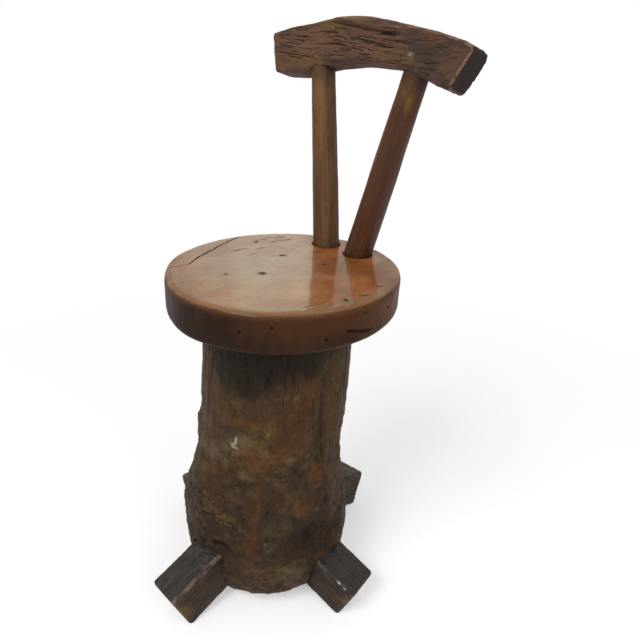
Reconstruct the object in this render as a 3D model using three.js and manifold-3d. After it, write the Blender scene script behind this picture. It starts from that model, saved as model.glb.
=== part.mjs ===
// A rustic chair: a round slab seat on a burl log, four squared feet let into the log,
// and two posts that lean out and back to an arched, weathered crest rail.
// Millimetres, +Z up. The chair faces -Y and its posts stand at +Y.
import * as THREE from 'three';
import { mergeVertices } from 'three/addons/utils/BufferGeometryUtils.js';
import Module from 'manifold-3d';

const wasm = await Module();
wasm.setup();

// Clearances
const fitGap = 0.3;            // between two pieces that touch
const cutThrough = 8;          // how far a cut runs on past the surface that it opens

// Seat slab
const seatHeight = 490;        // top of the seat above the floor
const seatDiameter = 292;
const seatThickness = 50.5;
const seatEdgeRound = 8;       // worn rounding of both rims
const seatRimWear = 4;         // the lower rim is worn away this much at one place
const seatWearSharpness = 6;   // how quickly the wear fades to both sides
const seatWearAzimuth = 4;     // degrees, where that wear is deepest

// How far the hand-cut rim of the seat stands out, at even steps round from +X towards +Y
const seatRim = [0.5, 0.8, 4.3, 6, 5, 1.5, 0.5, 1.5, -0.3, 3, 0.5, -0.5];

// Trunk: a log wider across one diagonal than the other
const trunkClearance = 6;      // underside of the log above the floor
const trunkTopRadius = 97;
const trunkWaistRadius = 100;
const trunkWaistHeight = 240;
const trunkBulgeRadius = 117;
const trunkBulgeDeepRadius = 101;
const trunkBulgeHeight = 108;
const trunkHeelRadius = 62;    // the flat underside
const trunkKneeRadius = 98;    // where the underside turns up
const trunkKneeHeight = 22;
const trunkShoulderRadius = 112;
const trunkShoulderHeight = 50;
const trunkNeckRadius = 107;   // where the bulge runs out into the waist
const trunkNeckHeight = 188;
const trunkWideAzimuth = 43.6; // degrees, the direction in which the log is widest
const trunkTopOffset = [-4, -4];
const trunkFootOffset = [-15, -18];
const trunkBurlFade = 40;      // the burls die out over this height under the seat

// Burls and hollows of the log: azimuth, height, reach, half spread in degrees and in height
const trunkBurls = [
  [218, 148, 6, 30, 34],
  [262, 172, 7, 22, 30],
  [300, 236, -4, 24, 46],
  [332, 262, 5, 16, 60],
  [355, 290, -6, 8, 90],
  [20, 118, 5, 26, 44],
  [314, 118, 7, 24, 40],
  [286, 84, -5, 16, 26],
  [48, 296, 2, 30, 40],
  [226, 290, -1.5, 30, 50],
  [120, 210, 6, 34, 60],
  [160, 110, 6, 26, 40],
  [75, 150, 5, 22, 50],
  [190, 250, -4, 24, 60],
  [262, 212, 4, 24, 14],       // the ledge along the top of the front burl
  [268, 118, -8, 18, 15],      // tucked in over the front foot
  [290, 170, -4, 7, 34],       // the furrow beside the burl
  [307, 150, 4, 6, 34],        // and the ridge beside that
  [312, 267, 4, 12, 16],
  [325, 228, -5, 8, 18],
  [326, 160, -4, 7, 14],
  [319, 130, 4, 6, 10],
  [343, 186, 4, 9, 20],
  [352, 138, -8, 11, 12],      // the dark hollow over the right foot
  [12, 132, -7, 10, 12],
  [359, 226, 4, 7, 12],
  [12, 300, 3, 10, 70],        // the lobe that runs up under the seat
  [340, 74, 4, 12, 13],
  [200, 92, 5, 12, 16],
  [142, 268, -5, 12, 22],
  [96, 244, 5, 12, 20],
  [62, 196, -4, 12, 22],
  [24, 224, 3, 9, 18],
  [48, 252, -3, 14, 20],
  [112, 128, -5, 11, 18],
  [172, 186, 5, 11, 20],
  [228, 270, 4.5, 14, 20],
  [291, 34, -5, 10, 14],
];

// Back posts
const postSpacing = 57.6;      // between the two axes at the top of the seat
const postRimInset = 36;       // from the seat's rim in to the posts' axes, at the top of the seat
const postSplay = { left: 11.0, right: 12.1 };  // degrees outward
const postRecline = 7.6;       // degrees back
const postWidthLow = 34.5;
const postWidthMiddle = 32.5;
const postWidthHigh = 29.5;
const postCorner = 0.62;       // squareness of the section: 1 is round, 0 is square
const postLetIn = 6;           // the whole section is let into the seat this deep
const postHousing = 9;         // and this deep into the rail
const seatTenonDiameter = 24;
const seatTenonRelief = 1.5;   // the tenon stops this far above the slab's underside
const railTenonDiameter = 17;
const railTenonLength = 15;
const wedgeWidth = 20;
const wedgeLength = 22;
const wedgeThickness = 4.5;
const wedgeTip = 1.2;
const wedgeEase = 0.2;

// Crest rail
const railHeight = 705;        // lower front edge at its ends, above the floor
const railLength = 302;        // at half its height
const railOffset = -8;         // its middle stands off the chair's middle plane, to the left
const railEndDepth = 48.5;     // height of its front face at the ends
const railMiddleDepth = 51;    // and in the middle
const railArch = 23;           // rise of the lower edge in the middle
const railArchShift = 20;      // the arch is highest this far to the right
const railThicknessHigh = 42;
const railThicknessLow = 38;
const railLean = 14;           // degrees that the front face leans back
const railEndCut = { left: 20, right: 24 };     // degrees that each end is cut off the upright
const railTilt = 0.5;          // degrees that the right end hangs lower
const railArris = 4.5;
const railBackArris = 14;      // the upper back edge is rounded over much more
const railEndEase = 2.5;       // how much the ends' edges are eased
const railPostInset = 15;      // from the rail's lower front edge back to the posts' axes

// Feet: each slopes down from a hub inside the log
const footWidth = 52;
const footDepth = 61.5;
const footHubHeight = 108.5;   // where the feet's axes meet, apart from each foot's lift
const footInnerEnd = 44;       // from the hub to the inner end of each tenon
const footArris = 3.5;
const footSoleWear = 3.2;      // how much of the lowest corner is worn flat
const footEndEase = 2.5;       // how much the end's edges are eased
const mortiseSlack = 10;       // the mortise mouth is cut this much too high, outside the log
const mortiseSlackDepth = 34;  // and closes down this far inside the log's widest radius
// Each foot's section differs from the usual one, and so does its place beside and above the hub
const feet = [
  { name: 'foot_front', azimuth: -92.2, slope: 22.8, wider: 0, deeper: 6.7, aside: -5.9, lift: -9.9 },
  { name: 'foot_right', azimuth: 9.4, slope: 25.7, wider: 5.3, deeper: -4, aside: 8.6, lift: -9.1 },
  { name: 'foot_back', azimuth: 94.5, slope: 21.6, wider: 0, deeper: 0, aside: 0, lift: 0 },
  { name: 'foot_left', azimuth: 176, slope: 23.2, wider: 0, deeper: 0, aside: 0, lift: 0 },
];

// Pegs up through the feet, and dowels between the seat and the log
const pegDiameter = 10;
const pegReach = 70;           // from the hub, along each foot, seen from above
const pegInTrunk = 16;         // above the tenon
const pegBelow = 10;           // below the tenon
const dowelDiameter = 16;
const dowelCircleRadius = 58;
const dowelInSeat = 30;
const dowelInTrunk = 34;
const dowelEndPlay = 1;
const dowelCount = 3;

// Fineness of the faceted surfaces
const seatSteps = 72;
const trunkSteps = 72;
const trunkLayers = 42;
const railSteps = 26;
const roundSteps = 16;

const woods = {
  seat: { color: '#80532f', roughness: 0.3 },
  trunk: { color: '#46321f', roughness: 0.75 },
  post: { color: '#674631', roughness: 0.6 },
  rail: { color: '#58412f', roughness: 0.85 },
  foot: { color: '#3b2f26', roughness: 0.8 },
  inner: { color: '#a5825a', roughness: 0.7 },
};

const rad = THREE.MathUtils.degToRad;
const smoothStep = THREE.MathUtils.smoothstep;
const up = new THREE.Vector3(0, 0, 1);
const seatUnderside = seatHeight - seatThickness;
const trunkTop = seatUnderside - fitGap;

// Solids from rings of points, each ring running anticlockwise seen from the far end
function loft(rings) {
  const count = rings[0].length;
  const positions = [];
  const triangles = [];
  for (const ring of rings) {
    for (const point of ring) {
      positions.push(point.x, point.y, point.z);
    }
  }
  for (let layer = 0; layer < rings.length - 1; layer += 1) {
    for (let step = 0; step < count; step += 1) {
      const next = (step + 1) % count;
      const a = layer * count + step;
      const b = layer * count + next;
      triangles.push(a, b, b + count, a, b + count, a + count);
    }
  }
  const last = (rings.length - 1) * count;
  for (const [ring, start, flip] of [[rings[0], 0, true], [rings[rings.length - 1], last, false]]) {
    const middle = new THREE.Vector3();
    ring.forEach((point) => middle.add(point));
    middle.divideScalar(count);
    const centre = positions.length / 3;
    positions.push(middle.x, middle.y, middle.z);
    for (let step = 0; step < count; step += 1) {
      const a = start + step;
      const b = start + ((step + 1) % count);
      triangles.push(centre, flip ? b : a, flip ? a : b);
    }
  }
  const geometry = new THREE.BufferGeometry();
  geometry.setAttribute('position', new THREE.Float32BufferAttribute(positions, 3));
  geometry.setIndex(triangles);
  return geometry;
}

function toSolid(geometry) {
  const bare = geometry.clone();
  bare.deleteAttribute('normal');
  bare.deleteAttribute('uv');
  const merged = mergeVertices(bare, 1e-4);
  return new wasm.Manifold(new wasm.Mesh({
    numProp: 3,
    vertProperties: new Float32Array(merged.attributes.position.array),
    triVerts: new Uint32Array(merged.index.array),
  }));
}

function toGeometry(solid) {
  const mesh = solid.getMesh();
  const geometry = new THREE.BufferGeometry();
  geometry.setAttribute('position', new THREE.Float32BufferAttribute(mesh.vertProperties, 3));
  geometry.setIndex(Array.from(mesh.triVerts));
  geometry.computeVertexNormals();
  return geometry;
}

// A round bar from one point to another
function bar(from, to, radius) {
  const axis = to.clone().sub(from);
  const geometry = new THREE.CylinderGeometry(radius, radius, axis.length(), roundSteps);
  const turn = new THREE.Quaternion().setFromUnitVectors(new THREE.Vector3(0, 1, 0), axis.normalize());
  geometry.applyQuaternion(turn);
  geometry.translate((from.x + to.x) / 2, (from.y + to.y) / 2, (from.z + to.z) / 2);
  return toSolid(geometry);
}

// Seat slab
function seatSolid() {
  const rimSteps = 4;
  const profile = [];
  for (let step = 0; step <= rimSteps; step += 1) {
    const angle = (step / rimSteps) * (Math.PI / 2);
    profile.push([-seatEdgeRound * (1 - Math.sin(angle)), seatEdgeRound * (1 - Math.cos(angle))]);
  }
  for (let step = 0; step <= rimSteps; step += 1) {
    const angle = (1 - step / rimSteps) * (Math.PI / 2);
    profile.push([-seatEdgeRound * (1 - Math.sin(angle)),
      seatThickness - seatEdgeRound * (1 - Math.cos(angle))]);
  }
  const rim = new THREE.CatmullRomCurve3(seatRim.map((reach, index) => {
    const angle = (index / seatRim.length) * 2 * Math.PI;
    return new THREE.Vector3(Math.cos(angle), Math.sin(angle), 0)
      .multiplyScalar(seatDiameter / 2 + reach);
  }), true, 'centripetal');
  const rings = profile.map(([inset, height]) => {
    const ring = [];
    for (let step = 0; step < seatSteps; step += 1) {
      const point = rim.getPoint(step / seatSteps);
      const angle = Math.atan2(point.y, point.x);
      const away = Math.cos(angle - rad(seatWearAzimuth));
      const wear = seatRimWear * Math.max(0, away) ** seatWearSharpness * (1 - height / seatThickness);
      const radius = point.length() + inset - wear;
      ring.push(new THREE.Vector3(radius * Math.cos(angle), radius * Math.sin(angle),
        seatUnderside + height));
    }
    return ring;
  });
  return toSolid(loft(rings));
}

// Trunk
const trunkAcross = new THREE.SplineCurve([
  new THREE.Vector2(trunkHeelRadius, trunkClearance),
  new THREE.Vector2(trunkKneeRadius, trunkKneeHeight),
  new THREE.Vector2(trunkShoulderRadius, trunkShoulderHeight),
  new THREE.Vector2(trunkBulgeRadius, trunkBulgeHeight),
  new THREE.Vector2(trunkNeckRadius, trunkNeckHeight),
  new THREE.Vector2(trunkWaistRadius, trunkWaistHeight),
  new THREE.Vector2((trunkWaistRadius + trunkTopRadius) / 2, (trunkWaistHeight + trunkTop) / 2),
  new THREE.Vector2(trunkTopRadius, trunkTop),
]);

function trunkRadius(azimuth, height, across) {
  const bulge = smoothStep(trunkWaistHeight - height, 0, trunkWaistHeight - trunkBulgeHeight);
  const narrow = 1 - (1 - trunkBulgeDeepRadius / trunkBulgeRadius) * bulge;
  const turned = rad(azimuth - trunkWideAzimuth);
  const oval = 1 / Math.hypot(Math.cos(turned), Math.sin(turned) / narrow);
  let radius = across * oval;
  const settle = smoothStep(height, trunkClearance, trunkShoulderHeight);
  const tuck = smoothStep(trunkTop - height, 0, trunkBurlFade);
  for (const [where, level, reach, spread, rise] of trunkBurls) {
    const aside = ((azimuth - where + 540) % 360 - 180) / spread;
    const above = (height - level) / rise;
    radius += reach * Math.exp(-aside * aside - above * above) * settle * tuck;
  }
  return radius;
}

function trunkCentre(height) {
  const share = smoothStep(height, trunkBulgeHeight, trunkTop);
  return new THREE.Vector2(
    THREE.MathUtils.lerp(trunkFootOffset[0], trunkTopOffset[0], share),
    THREE.MathUtils.lerp(trunkFootOffset[1], trunkTopOffset[1], share),
  );
}

function trunkBody() {
  const rings = [];
  for (let layer = 0; layer <= trunkLayers; layer += 1) {
    const point = trunkAcross.getPoint(layer / trunkLayers);
    const centre = trunkCentre(point.y);
    const ring = [];
    for (let step = 0; step < trunkSteps; step += 1) {
      const azimuth = (step / trunkSteps) * 360;
      const radius = trunkRadius(azimuth, point.y, point.x);
      ring.push(new THREE.Vector3(centre.x + radius * Math.cos(rad(azimuth)),
        centre.y + radius * Math.sin(rad(azimuth)), point.y));
    }
    rings.push(ring);
  }
  return toSolid(loft(rings));
}

// A rectangle with eased corners in the plane of two directions
function easedRectangle(centre, sideways, upward, width, depth, ease) {
  const ring = [];
  const corners = [[1, -1], [1, 1], [-1, 1], [-1, -1]];
  corners.forEach(([x, y], corner) => {
    for (let step = 0; step <= 2; step += 1) {
      const angle = rad(corner * 90 - 90 + step * 45);
      const across = x * (width / 2 - ease) + ease * Math.cos(angle);
      const along = y * (depth / 2 - ease) + ease * Math.sin(angle);
      ring.push(centre.clone().addScaledVector(sideways, across).addScaledVector(upward, along));
    }
  });
  return ring;
}

// Feet
const hub = new THREE.Vector3(trunkFootOffset[0], trunkFootOffset[1], footHubHeight);

function footFrame(foot) {
  const outward = new THREE.Vector3(Math.cos(rad(foot.azimuth)), Math.sin(rad(foot.azimuth)), 0);
  const axis = outward.clone().multiplyScalar(Math.cos(rad(foot.slope)))
    .addScaledVector(up, -Math.sin(rad(foot.slope)));
  const sideways = up.clone().cross(outward);
  const upward = axis.clone().cross(sideways);
  const origin = hub.clone().addScaledVector(sideways, foot.aside).addScaledVector(upward, foot.lift);
  const width = footWidth + foot.wider;
  const depth = footDepth + foot.deeper;
  const drop = origin.z + footSoleWear - (depth / 2) * Math.cos(rad(foot.slope));
  const length = drop / Math.sin(rad(foot.slope));
  return { outward, axis, sideways, upward, origin, width, depth, length };
}

function footSolid(foot, clearance) {
  const { axis, sideways, upward, origin, width, depth, length } = footFrame(foot);
  const start = footInnerEnd / Math.cos(rad(foot.slope)) - clearance;
  const stations = [[start, 0], [length - footEndEase, 0], [length, footEndEase]];
  const rings = stations.map(([along, inset]) => easedRectangle(
    origin.clone().addScaledVector(axis, along), sideways, upward,
    width + 2 * (clearance - inset), depth + 2 * (clearance - inset), footArris));
  return toSolid(loft(rings));
}

function underFloor() {
  const size = 4 * seatDiameter;
  return toSolid(new THREE.BoxGeometry(size, size, size).translate(0, 0, -size / 2));
}

// The mouth of a mortise, cut too high by hand
function mortiseMouth(foot) {
  const { axis, sideways, upward, origin, width, depth } = footFrame(foot);
  const mouth = trunkBulgeRadius / Math.cos(rad(foot.slope));
  const stations = [[mouth - mortiseSlackDepth, fitGap], [mouth + mortiseSlackDepth, mortiseSlack]];
  const rings = stations.map(([along, rise]) => easedRectangle(
    origin.clone().addScaledVector(axis, along).addScaledVector(upward, rise / 2), sideways, upward,
    width + 2 * fitGap, depth + 2 * fitGap + rise, footArris));
  return toSolid(loft(rings));
}

function pegEnds(foot) {
  const { outward, sideways, depth } = footFrame(foot);
  const place = hub.clone().addScaledVector(outward, pegReach).addScaledVector(sideways, foot.aside);
  const cosine = Math.cos(rad(foot.slope));
  const middle = hub.z + foot.lift / cosine - pegReach * Math.tan(rad(foot.slope));
  const half = depth / 2 / cosine;
  return [place.clone().setZ(middle - half - pegBelow), place.clone().setZ(middle + half + pegInTrunk)];
}

function pegHole(foot) {
  const [low, high] = pegEnds(foot);
  low.z -= footHubHeight;
  high.z += dowelEndPlay;
  return bar(low, high, pegDiameter / 2 + fitGap);
}

// Dowels between the seat and the trunk
function dowelEnds(index, play) {
  const angle = rad(index * 360 / dowelCount - 90);
  const place = new THREE.Vector3(trunkTopOffset[0] + dowelCircleRadius * Math.cos(angle),
    trunkTopOffset[1] + dowelCircleRadius * Math.sin(angle), 0);
  return [place.clone().setZ(trunkTop - dowelInTrunk - play),
    place.clone().setZ(seatUnderside + dowelInSeat + play)];
}

// Back posts: side is -1 for the left post and 1 for the right one
function postFrame(side) {
  const splay = rad(side < 0 ? postSplay.left : postSplay.right);
  const axis = new THREE.Vector3(side * Math.tan(splay), Math.tan(rad(postRecline)), 1).normalize();
  const root = new THREE.Vector3(side * postSpacing / 2, seatDiameter / 2 - postRimInset, seatHeight);
  const sideways = new THREE.Vector3(0, 1, 0).cross(axis).normalize();
  const back = axis.clone().cross(sideways);
  return { axis, root, sideways, back };
}

function postRing(frame, along, width) {
  const ring = [];
  const centre = frame.root.clone().addScaledVector(frame.axis, along);
  for (let step = 0; step < roundSteps; step += 1) {
    const angle = ((step + 0.5) / roundSteps) * 2 * Math.PI;
    const cosine = Math.cos(angle);
    const sine = Math.sin(angle);
    const round = 1 / Math.max(Math.abs(cosine), Math.abs(sine));
    const reach = (width / 2) * THREE.MathUtils.lerp(round, 1, postCorner);
    ring.push(centre.clone().addScaledVector(frame.sideways, reach * cosine)
      .addScaledVector(frame.back, reach * sine));
  }
  return ring;
}

// Height of the rail's underside over a post, measured along the post
function postHeadAlong(side) {
  const { axis, root } = postFrame(side);
  const x = root.x + (railHeight - seatHeight) * axis.x / axis.z;
  const section = railSection(x);
  const drop = railPostInset * Math.tan(rad(railLean));
  return (railHeight + section.low - drop - seatHeight) / axis.z;
}

function postSolid(side, clearance) {
  const frame = postFrame(side);
  const head = postHeadAlong(side) + postHousing + clearance;
  const grow = 2 * clearance;
  const stations = [
    [-postLetIn - clearance, postWidthLow],
    [head / 2, postWidthMiddle],
    [head, postWidthHigh],
  ];
  return toSolid(loft(stations.map(([along, width]) => postRing(frame, along, width + grow))));
}

function postTenons(side, clearance) {
  const frame = postFrame(side);
  const at = (along) => frame.root.clone().addScaledVector(frame.axis, along);
  const through = clearance > 0 ? seatThickness + cutThrough : seatThickness - seatTenonRelief;
  const head = postHeadAlong(side) + postHousing;
  const low = bar(at(-through / frame.axis.z), at(0), seatTenonDiameter / 2 + clearance);
  const high = bar(at(head - postHousing), at(head + railTenonLength + 2 * clearance),
    railTenonDiameter / 2 + clearance);
  return low.add(high);
}

// A wedge driven up into the lower tenon, across the grain of the seat
function wedgeSolid(side, clearance) {
  const frame = postFrame(side);
  const butt = -(seatThickness - seatTenonRelief) / frame.axis.z + fitGap;
  const taper = (wedgeThickness - wedgeTip) / wedgeLength;
  const stations = [-cutThrough * Math.sign(clearance), wedgeLength + clearance];
  const rings = stations.map((along) => easedRectangle(
    frame.root.clone().addScaledVector(frame.axis, butt + along), frame.sideways, frame.back,
    wedgeWidth + 2 * clearance, wedgeThickness - taper * along + 2 * clearance, wedgeEase));
  return toSolid(loft(rings));
}

// Crest rail
const railLowEdge = new THREE.SplineCurve([
  new THREE.Vector2(-1, 0),
  new THREE.Vector2(-0.66, 0.18),
  new THREE.Vector2(-0.42, 0.58),
  new THREE.Vector2(-0.12, 0.88),
  new THREE.Vector2(railArchShift / (railLength / 2), 1),
  new THREE.Vector2(0.48, 0.88),
  new THREE.Vector2(0.76, 0.42),
  new THREE.Vector2(1, 0),
]);

// The upper edge, as a share of its rise from the ends to the middle
const railHighEdge = new THREE.SplineCurve([
  new THREE.Vector2(-1, 0.02),
  new THREE.Vector2(-0.87, 0.25),
  new THREE.Vector2(-0.72, 0.45),
  new THREE.Vector2(-0.55, 0.57),
  new THREE.Vector2(-0.36, 0.8),
  new THREE.Vector2(-0.2, 0.96),
  new THREE.Vector2(0, 1),
  new THREE.Vector2(0.18, 0.93),
  new THREE.Vector2(0.36, 0.76),
  new THREE.Vector2(0.55, 0.59),
  new THREE.Vector2(0.72, 0.42),
  new THREE.Vector2(0.87, 0.2),
  new THREE.Vector2(1, -0.08),
]);

function curveAt(curve, x) {
  let low = 0;
  let high = 1;
  for (let turn = 0; turn < 30; turn += 1) {
    const middle = (low + high) / 2;
    if (curve.getPoint(middle).x < x) {
      low = middle;
    } else {
      high = middle;
    }
  }
  return curve.getPoint(low).y;
}

function railSection(x) {
  const share = THREE.MathUtils.clamp((x - railOffset) / (railLength / 2), -1, 1);
  const hang = x * Math.tan(rad(railTilt));
  const low = railArch * curveAt(railLowEdge, share) - hang;
  const rise = railMiddleDepth + railArch - railEndDepth;
  const high = railEndDepth + rise * curveAt(railHighEdge, share) - hang;
  return { low, high };
}

// The corners of a section, each eased with four points
function easedSection(corners, arrises) {
  return corners.flatMap((corner, index) => {
    const before = corners[(index + corners.length - 1) % corners.length];
    const after = corners[(index + 1) % corners.length];
    const start = corner.clone().add(before.clone().sub(corner).setLength(arrises[index]));
    const end = corner.clone().add(after.clone().sub(corner).setLength(arrises[index]));
    const easing = new THREE.QuadraticBezierCurve(start, corner, end);
    return [0, 1 / 3, 2 / 3, 1].map((share) => easing.getPoint(share));
  });
}

// One ring of the rail: share runs from -1 at the left end to 1 at the right one
function railRing(share, inset, frontY) {
  const lean = rad(railLean);
  const upward = new THREE.Vector3(0, Math.sin(lean), Math.cos(lean));
  const inward = new THREE.Vector3(0, Math.cos(lean), -Math.sin(lean));
  const x = railOffset + share * railLength / 2;
  const { low, high } = railSection(x);
  const depth = (high - low) / Math.cos(lean);
  const section = easedSection([
    new THREE.Vector2(inset, inset),
    new THREE.Vector2(railThicknessLow - inset, inset),
    new THREE.Vector2(railThicknessHigh - inset, depth - inset),
    new THREE.Vector2(inset, depth - inset),
  ], [railArris, railArris, railBackArris, railArris]);
  const endCut = share < 0 ? railEndCut.left : railEndCut.right;
  return section.map(({ x: thick, y: tall }) => {
    const tilt = share * Math.tan(rad(endCut)) * (tall - railEndDepth / 2);
    return new THREE.Vector3(x + tilt, frontY, railHeight + low)
      .addScaledVector(upward, tall).addScaledVector(inward, thick);
  });
}

function railSolid(frontY) {
  const full = 1 - railEndEase / (railLength / 2);
  const rings = [railRing(-1, railEndEase, frontY)];
  for (let step = 0; step <= railSteps; step += 1) {
    rings.push(railRing(full * (2 * step / railSteps - 1), 0, frontY));
  }
  rings.push(railRing(1, railEndEase, frontY));
  return toSolid(loft(rings));
}

function buildPieces() {
  const pieces = [];
  const add = (name, solid, wood) => pieces.push({ name, solid, wood });

  const sides = [[-1, 'left'], [1, 'right']];
  const postTop = postFrame(1);
  const railFront = postTop.root.y + (railHeight - seatHeight) * postTop.axis.y / postTop.axis.z
    - railPostInset;
  let seat = seatSolid();
  let rail = railSolid(railFront);
  for (const [side, word] of sides) {
    const socket = postSolid(side, fitGap).add(postTenons(side, fitGap));
    seat = seat.subtract(socket);
    rail = rail.subtract(socket);
    const post = postSolid(side, 0).add(postTenons(side, 0));
    add(`back_post_${word}`, post.subtract(wedgeSolid(side, fitGap)), 'post');
    add(`post_wedge_${word}`, wedgeSolid(side, 0), 'inner');
  }
  add('crest_rail', rail, 'rail');

  let trunk = trunkBody();
  for (let index = 0; index < dowelCount; index += 1) {
    const [low, high] = dowelEnds(index, 0);
    const [holeLow, holeHigh] = dowelEnds(index, dowelEndPlay);
    const hole = bar(holeLow, holeHigh, dowelDiameter / 2 + fitGap);
    trunk = trunk.subtract(hole);
    seat = seat.subtract(hole);
    add(`seat_dowel_${index + 1}`, bar(low, high, dowelDiameter / 2), 'inner');
  }
  add('seat_slab', seat, 'seat');

  const floor = underFloor();
  for (const foot of feet) {
    trunk = trunk.subtract(footSolid(foot, fitGap)).subtract(mortiseMouth(foot));
    trunk = trunk.subtract(pegHole(foot));
    const [low, high] = pegEnds(foot);
    add(foot.name, footSolid(foot, 0).subtract(floor).subtract(pegHole(foot)), 'foot');
    add(foot.name.replace('foot_', 'foot_peg_'), bar(low, high, pegDiameter / 2), 'inner');
  }
  add('trunk', trunk, 'trunk');
  return pieces;
}

const chair = new THREE.Group();
for (const { name, solid, wood } of buildPieces()) {
  const material = new THREE.MeshStandardMaterial({ ...woods[wood], metalness: 0 });
  const mesh = new THREE.Mesh(toGeometry(solid), material);
  mesh.name = name;
  chair.add(mesh);
}

// The origin is on the floor, under the middle of the whole chair
const bounds = new THREE.Box3().setFromObject(chair);
const middle = bounds.getCenter(new THREE.Vector3());
chair.position.set(-middle.x, -middle.y, -bounds.min.z);

export default chair;
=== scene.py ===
"""The finish of a rustic log chair: carved and weathered wood around its fixed model.

Metres, +Z up. The chair faces -Y, and its two posts and the crest rail stand at +Y.
"""

import math
import random

import bpy
import numpy as np
from mathutils import Matrix, Vector, noise
from mathutils.kdtree import KDTree


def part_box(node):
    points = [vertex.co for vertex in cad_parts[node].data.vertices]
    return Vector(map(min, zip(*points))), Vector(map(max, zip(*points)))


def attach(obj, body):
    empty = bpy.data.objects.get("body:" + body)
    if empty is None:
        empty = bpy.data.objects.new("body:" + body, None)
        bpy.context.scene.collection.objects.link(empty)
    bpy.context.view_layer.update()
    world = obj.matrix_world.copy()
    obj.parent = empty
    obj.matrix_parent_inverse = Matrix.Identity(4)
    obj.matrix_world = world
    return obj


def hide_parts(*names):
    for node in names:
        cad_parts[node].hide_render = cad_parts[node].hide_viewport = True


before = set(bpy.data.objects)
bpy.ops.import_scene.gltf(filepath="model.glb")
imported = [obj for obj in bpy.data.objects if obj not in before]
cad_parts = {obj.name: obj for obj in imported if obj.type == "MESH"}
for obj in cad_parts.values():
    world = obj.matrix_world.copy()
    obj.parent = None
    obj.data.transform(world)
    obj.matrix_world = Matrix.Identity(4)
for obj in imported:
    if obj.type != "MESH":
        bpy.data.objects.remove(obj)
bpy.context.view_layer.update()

bl_info = {
    "name": "Log chair finish",
    "version": (1, 0, 0),
    "blender": (4, 5, 0),
    "location": "View3D > Sidebar > Log chair",
    "description": "Carves and finishes the wood of a rustic log chair",
    "category": "Object",
}

MM = 0.001

# Places that the solids give
SEAT_LOW, SEAT_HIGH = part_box("seat_slab")
SEAT_CENTRE = np.array(((SEAT_LOW + SEAT_HIGH) / 2).xy) + np.array([0.3, -1.5]) * MM    # its rim is uneven
SEAT_RADIUS = (SEAT_HIGH.x - SEAT_LOW.x) / 2
SEAT_TOP = SEAT_HIGH.z
RAIL_LOW, RAIL_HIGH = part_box("crest_rail")
RAIL_CORNER = np.array([(RAIL_LOW.x + RAIL_HIGH.x) / 2, RAIL_LOW.z])
LOG_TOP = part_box("trunk")[1].z

# The log's axis, seen from above: it stands a little off the seat's, more so at its foot
LOG_FOOT_AXIS = SEAT_CENTRE + np.array([-15.0, -18.0]) * MM
LOG_TOP_AXIS = SEAT_CENTRE + np.array([-4.0, -4.0]) * MM
LOG_RADIUS = 108 * MM
LOG_FACE = 300.0     # degrees, the side of the log that is carved here

# Distances between the points of the carved surfaces
SEAT_PITCH = 1.6 * MM
LOG_PITCH = 2.4 * MM
POST_PITCH = 1.2 * MM
RAIL_PITCH = 1.0 * MM
FOOT_PITCH = 1.4 * MM
MERGE_DISTANCE = 0.01 * MM

# Sockets of the Mix node when it mixes colours
FACTOR, FIRST, SECOND, RESULT = 0, 6, 7, 2
SMOOTH = {"interpolation_type": "SMOOTHSTEP"}    # a MapRange node that eases in and out


def linear(colour):
    """An sRGB hex colour as linear red, green and blue."""
    shares = [int(colour[place:place + 2], 16) / 255 for place in (1, 3, 5)]
    return tuple(s / 12.92 if s <= 0.04045 else ((s + 0.055) / 1.055) ** 2.4 for s in shares)


def rgba(colour):
    """A colour property or tuple with full opacity."""
    return (*tuple(colour)[:3], 1.0)


def add_node(tree, kind, settings=None, sockets=None):
    """Adds a shader node, sets its settings, and gives its sockets values or links."""
    node = tree.nodes.new("ShaderNode" + kind)
    for name, value in (settings or {}).items():
        setattr(node, name, value)
    for name, value in (sockets or {}).items():
        if isinstance(value, bpy.types.NodeSocket):
            tree.links.new(value, node.inputs[name])
        else:
            node.inputs[name].default_value = value
    return node


# Meshes as arrays

def choose(piece):
    """Selects this piece alone and makes it active."""
    bpy.ops.object.select_all(action="DESELECT")
    piece.select_set(True)
    bpy.context.view_layer.objects.active = piece


def modify(piece, kind, **settings):
    """Adds a modifier and applies it."""
    choose(piece)
    modifier = piece.modifiers.new(kind.title(), kind)
    for name, value in settings.items():
        setattr(modifier, name, value)
    bpy.ops.object.modifier_apply(modifier=modifier.name)


def blank(node, name, pitch, rounds):
    """A copy of a solid with an even skin of small faces, ready to be carved."""
    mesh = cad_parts[node].data.copy()
    mesh.name = name
    mesh.materials.clear()
    piece = bpy.data.objects.new(name, mesh)
    bpy.context.scene.collection.objects.link(piece)
    choose(piece)
    bpy.ops.mesh.customdata_custom_splitnormals_clear()
    bpy.ops.object.mode_set(mode="EDIT")
    bpy.ops.mesh.select_all(action="SELECT")
    bpy.ops.mesh.remove_doubles(threshold=MERGE_DISTANCE)
    bpy.ops.mesh.normals_make_consistent(inside=False)
    bpy.ops.object.mode_set(mode="OBJECT")
    modify(piece, "REMESH", mode="VOXEL", voxel_size=pitch, use_smooth_shade=True)
    modify(piece, "SMOOTH", factor=0.5, iterations=rounds)
    return piece


def points_of(piece):
    """The piece's points, one row each."""
    flat = np.empty(len(piece.data.vertices) * 3)
    piece.data.vertices.foreach_get("co", flat)
    return flat.reshape(-1, 3)


def normals_of(piece):
    """The directions in which the piece's points face, one row each."""
    flat = np.empty(len(piece.data.vertices) * 3)
    piece.data.vertices.foreach_get("normal", flat)
    return flat.reshape(-1, 3)


def place(piece, points):
    """Puts the piece's points where the rows say."""
    piece.data.vertices.foreach_set("co", points.ravel())
    piece.data.update()


def raise_skin(piece, height):
    """Moves each point along its normal by its height, which is negative for a cut."""
    place(piece, points_of(piece) + normals_of(piece) * height[:, None])


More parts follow.
